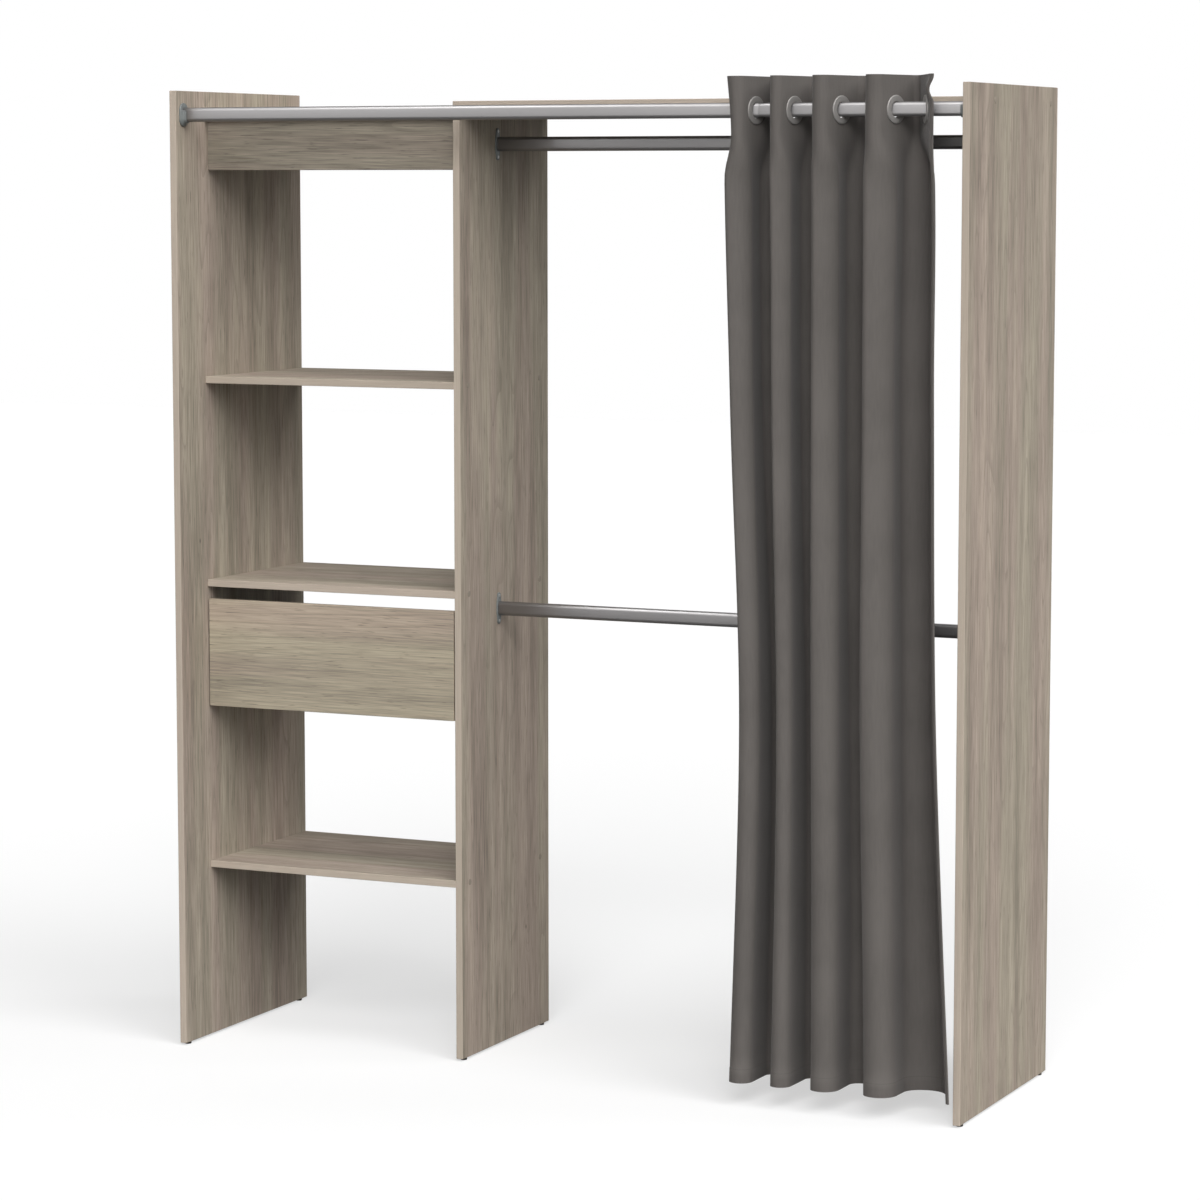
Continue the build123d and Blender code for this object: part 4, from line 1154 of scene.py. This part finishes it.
class RACK_OT_studio(bpy.types.Operator):
    """Sets up the pale floor, the soft light and the camera"""
    bl_idname = "rack.studio"
    bl_label = "Studio"
    bl_options = {'REGISTER', 'UNDO'}

    def execute(self, context):
        look = settings().rack_studio
        scene = context.scene
        scene.view_settings.view_transform = 'Standard'
        fresh_start()
        bpy.ops.mesh.primitive_plane_add(size=40, location=(0, 0, 0))
        floor = context.object
        floor.name = "studio_floor"
        floor.data.materials.append(self.floor_material())
        self.sky(scene, look)
        lens = bpy.data.cameras.new("camera")
        lens.lens = look.focal_length
        lens.sensor_width = 36
        lens.sensor_fit = 'HORIZONTAL'
        camera = bpy.data.objects.new("camera", lens)
        camera.location = look.camera_place
        camera.rotation_euler = (math.pi / 2 - look.camera_pitch, 0, look.camera_yaw)
        scene.collection.objects.link(camera)
        scene.camera = camera
        return {'FINISHED'}

    def floor_material(self):
        """Pale matt studio floor, which throws little light up under the boards.

        The camera sees it paler than it is, lifted by a glow that lights nothing else.
        """
        material, tree, shader = new_material("pale_matt_floor")
        tree.nodes.remove(shader)
        seen = node(tree, "LightPath").node.outputs
        direct = node(tree, "Math", {0: seen["Is Camera Ray"], 1: seen["Is Transmission Ray"]},
                      operation='MAXIMUM')
        tone = node(tree, "Mix", {"Factor": direct, "A": opaque(grey(0.2)), "B": opaque(grey(0.42))},
                    data_type='RGBA')
        matt = node(tree, "BsdfDiffuse", {"Color": tone})
        lift = node(tree, "Math", {0: direct, 1: 0.54}, operation='MULTIPLY')
        lift = node(tree, "Emission", {"Color": opaque(grey(1.0)), "Strength": lift})
        feed(tree.nodes["Material Output"], {"Surface": node(tree, "AddShader", {0: matt, 1: lift})})
        return material

    def sky(self, scene, look):
        """Wide soft lights in a weak even sky, which is plain white to the camera and to shiny surfaces.

        Shiny surfaces also see a bright card overhead and a dark flag behind, which draw the lines along the
        tubes. Only matt surfaces see the rear light, so that the tubes show no glare.
        """
        world = bpy.data.worlds.new("studio")
        world.use_nodes = True
        scene.world = world
        tree = world.node_tree
        tree.nodes.clear()
        way = node(tree, "TexCoord", gives="Generated")
        seen = node(tree, "LightPath").node.outputs
        camera, glossy = seen["Is Camera Ray"], seen["Is Glossy Ray"]
        white = node(tree, "Math", {0: camera, 1: glossy}, operation='MAXIMUM')
        white = node(tree, "Math", {0: white, 1: seen["Is Transmission Ray"]}, operation='MAXIMUM')
        level = node(tree, "Mix", {"Factor": white, "A": look.sky, "B": 1.0})
        lit = node(tree, "Math", {0: 1.0, 1: camera}, operation='SUBTRACT')
        matt = node(tree, "Math", {0: lit, 1: glossy}, operation='SUBTRACT')
        # Each light: degrees right of the front, degrees up, its reach in degrees, strength, and who sees it
        for right, up, reach, power, who in (
                (22, 37, 18, look.key * 0.7, lit), (22, 14, 22, look.key * 0.24, lit),
                (66, 38, 26, look.side, lit), (66, 58, 18, look.side * 1.1, lit),
                (112, 37, 14, look.side * 1.3, lit), (-42, 20, 26, look.fill, lit),
                (-152, 2, 42, look.rear, matt), (-42, 50, 20, look.card, glossy),
                (-155, 8, 60, -1.0, glossy)):
            across, rise = math.radians(right), math.radians(up)
            aim = (math.sin(across) * math.cos(rise), -math.cos(across) * math.cos(rise), math.sin(rise))
            close = node(tree, "VectorMath", {0: way, 1: aim}, operation='DOT_PRODUCT')
            glow = node(tree, "MapRange", {"Value": close, "From Min": math.cos(math.radians(reach)),
                                           "From Max": math.cos(math.radians(reach * 0.4)), "To Max": power},
                        interpolation_type='SMOOTHSTEP')
            level = node(tree, "Math", {0: glow, 1: who, 2: level}, operation='MULTIPLY_ADD')
        light = node(tree, "Background", {"Color": opaque(grey(1.0)), "Strength": level})
        node(tree, "OutputWorld", {"Surface": light})


class RACK_PT_panel(bpy.types.Panel):
    """Lists the rack's pieces"""
    bl_idname = "RACK_PT_panel"
    bl_label = "Clothes rack"
    bl_space_type = 'VIEW_3D'
    bl_region_type = 'UI'
    bl_category = "Rack"

    def draw(self, context):
        for operator in piece_operators:
            self.layout.operator(operator.bl_idname)
        for name in property_groups:
            box = self.layout.box()
            group = getattr(context.scene, name)
            for key in group.bl_rna.properties.keys():
                if key not in ("name", "rna_type"):
                    box.prop(group, key)


piece_operators = (RACK_OT_boards, RACK_OT_drawer_box, RACK_OT_tubes, RACK_OT_sockets, RACK_OT_brackets,
                   RACK_OT_screws, RACK_OT_caps, RACK_OT_glides, RACK_OT_rollers, RACK_OT_eyelets,
                   RACK_OT_curtain, RACK_OT_studio)
property_groups = {"rack_boards": RackBoards, "rack_metals": RackMetals, "rack_fittings": RackFittings,
                   "rack_curtain": RackCurtain, "rack_studio": RackStudio}


def register():
    for cls in (*property_groups.values(), *piece_operators, RACK_PT_panel):
        bpy.utils.register_class(cls)
    for name, group in property_groups.items():
        setattr(bpy.types.Scene, name, PointerProperty(type=group))


def unregister():
    for name in property_groups:
        delattr(bpy.types.Scene, name)
    for cls in reversed((*property_groups.values(), *piece_operators, RACK_PT_panel)):
        bpy.utils.unregister_class(cls)


def main():
    register()
    for operator in piece_operators:
        category, _, call = operator.bl_idname.partition(".")
        getattr(getattr(bpy.ops, category), call)()


if __name__ == "__main__":
    main()
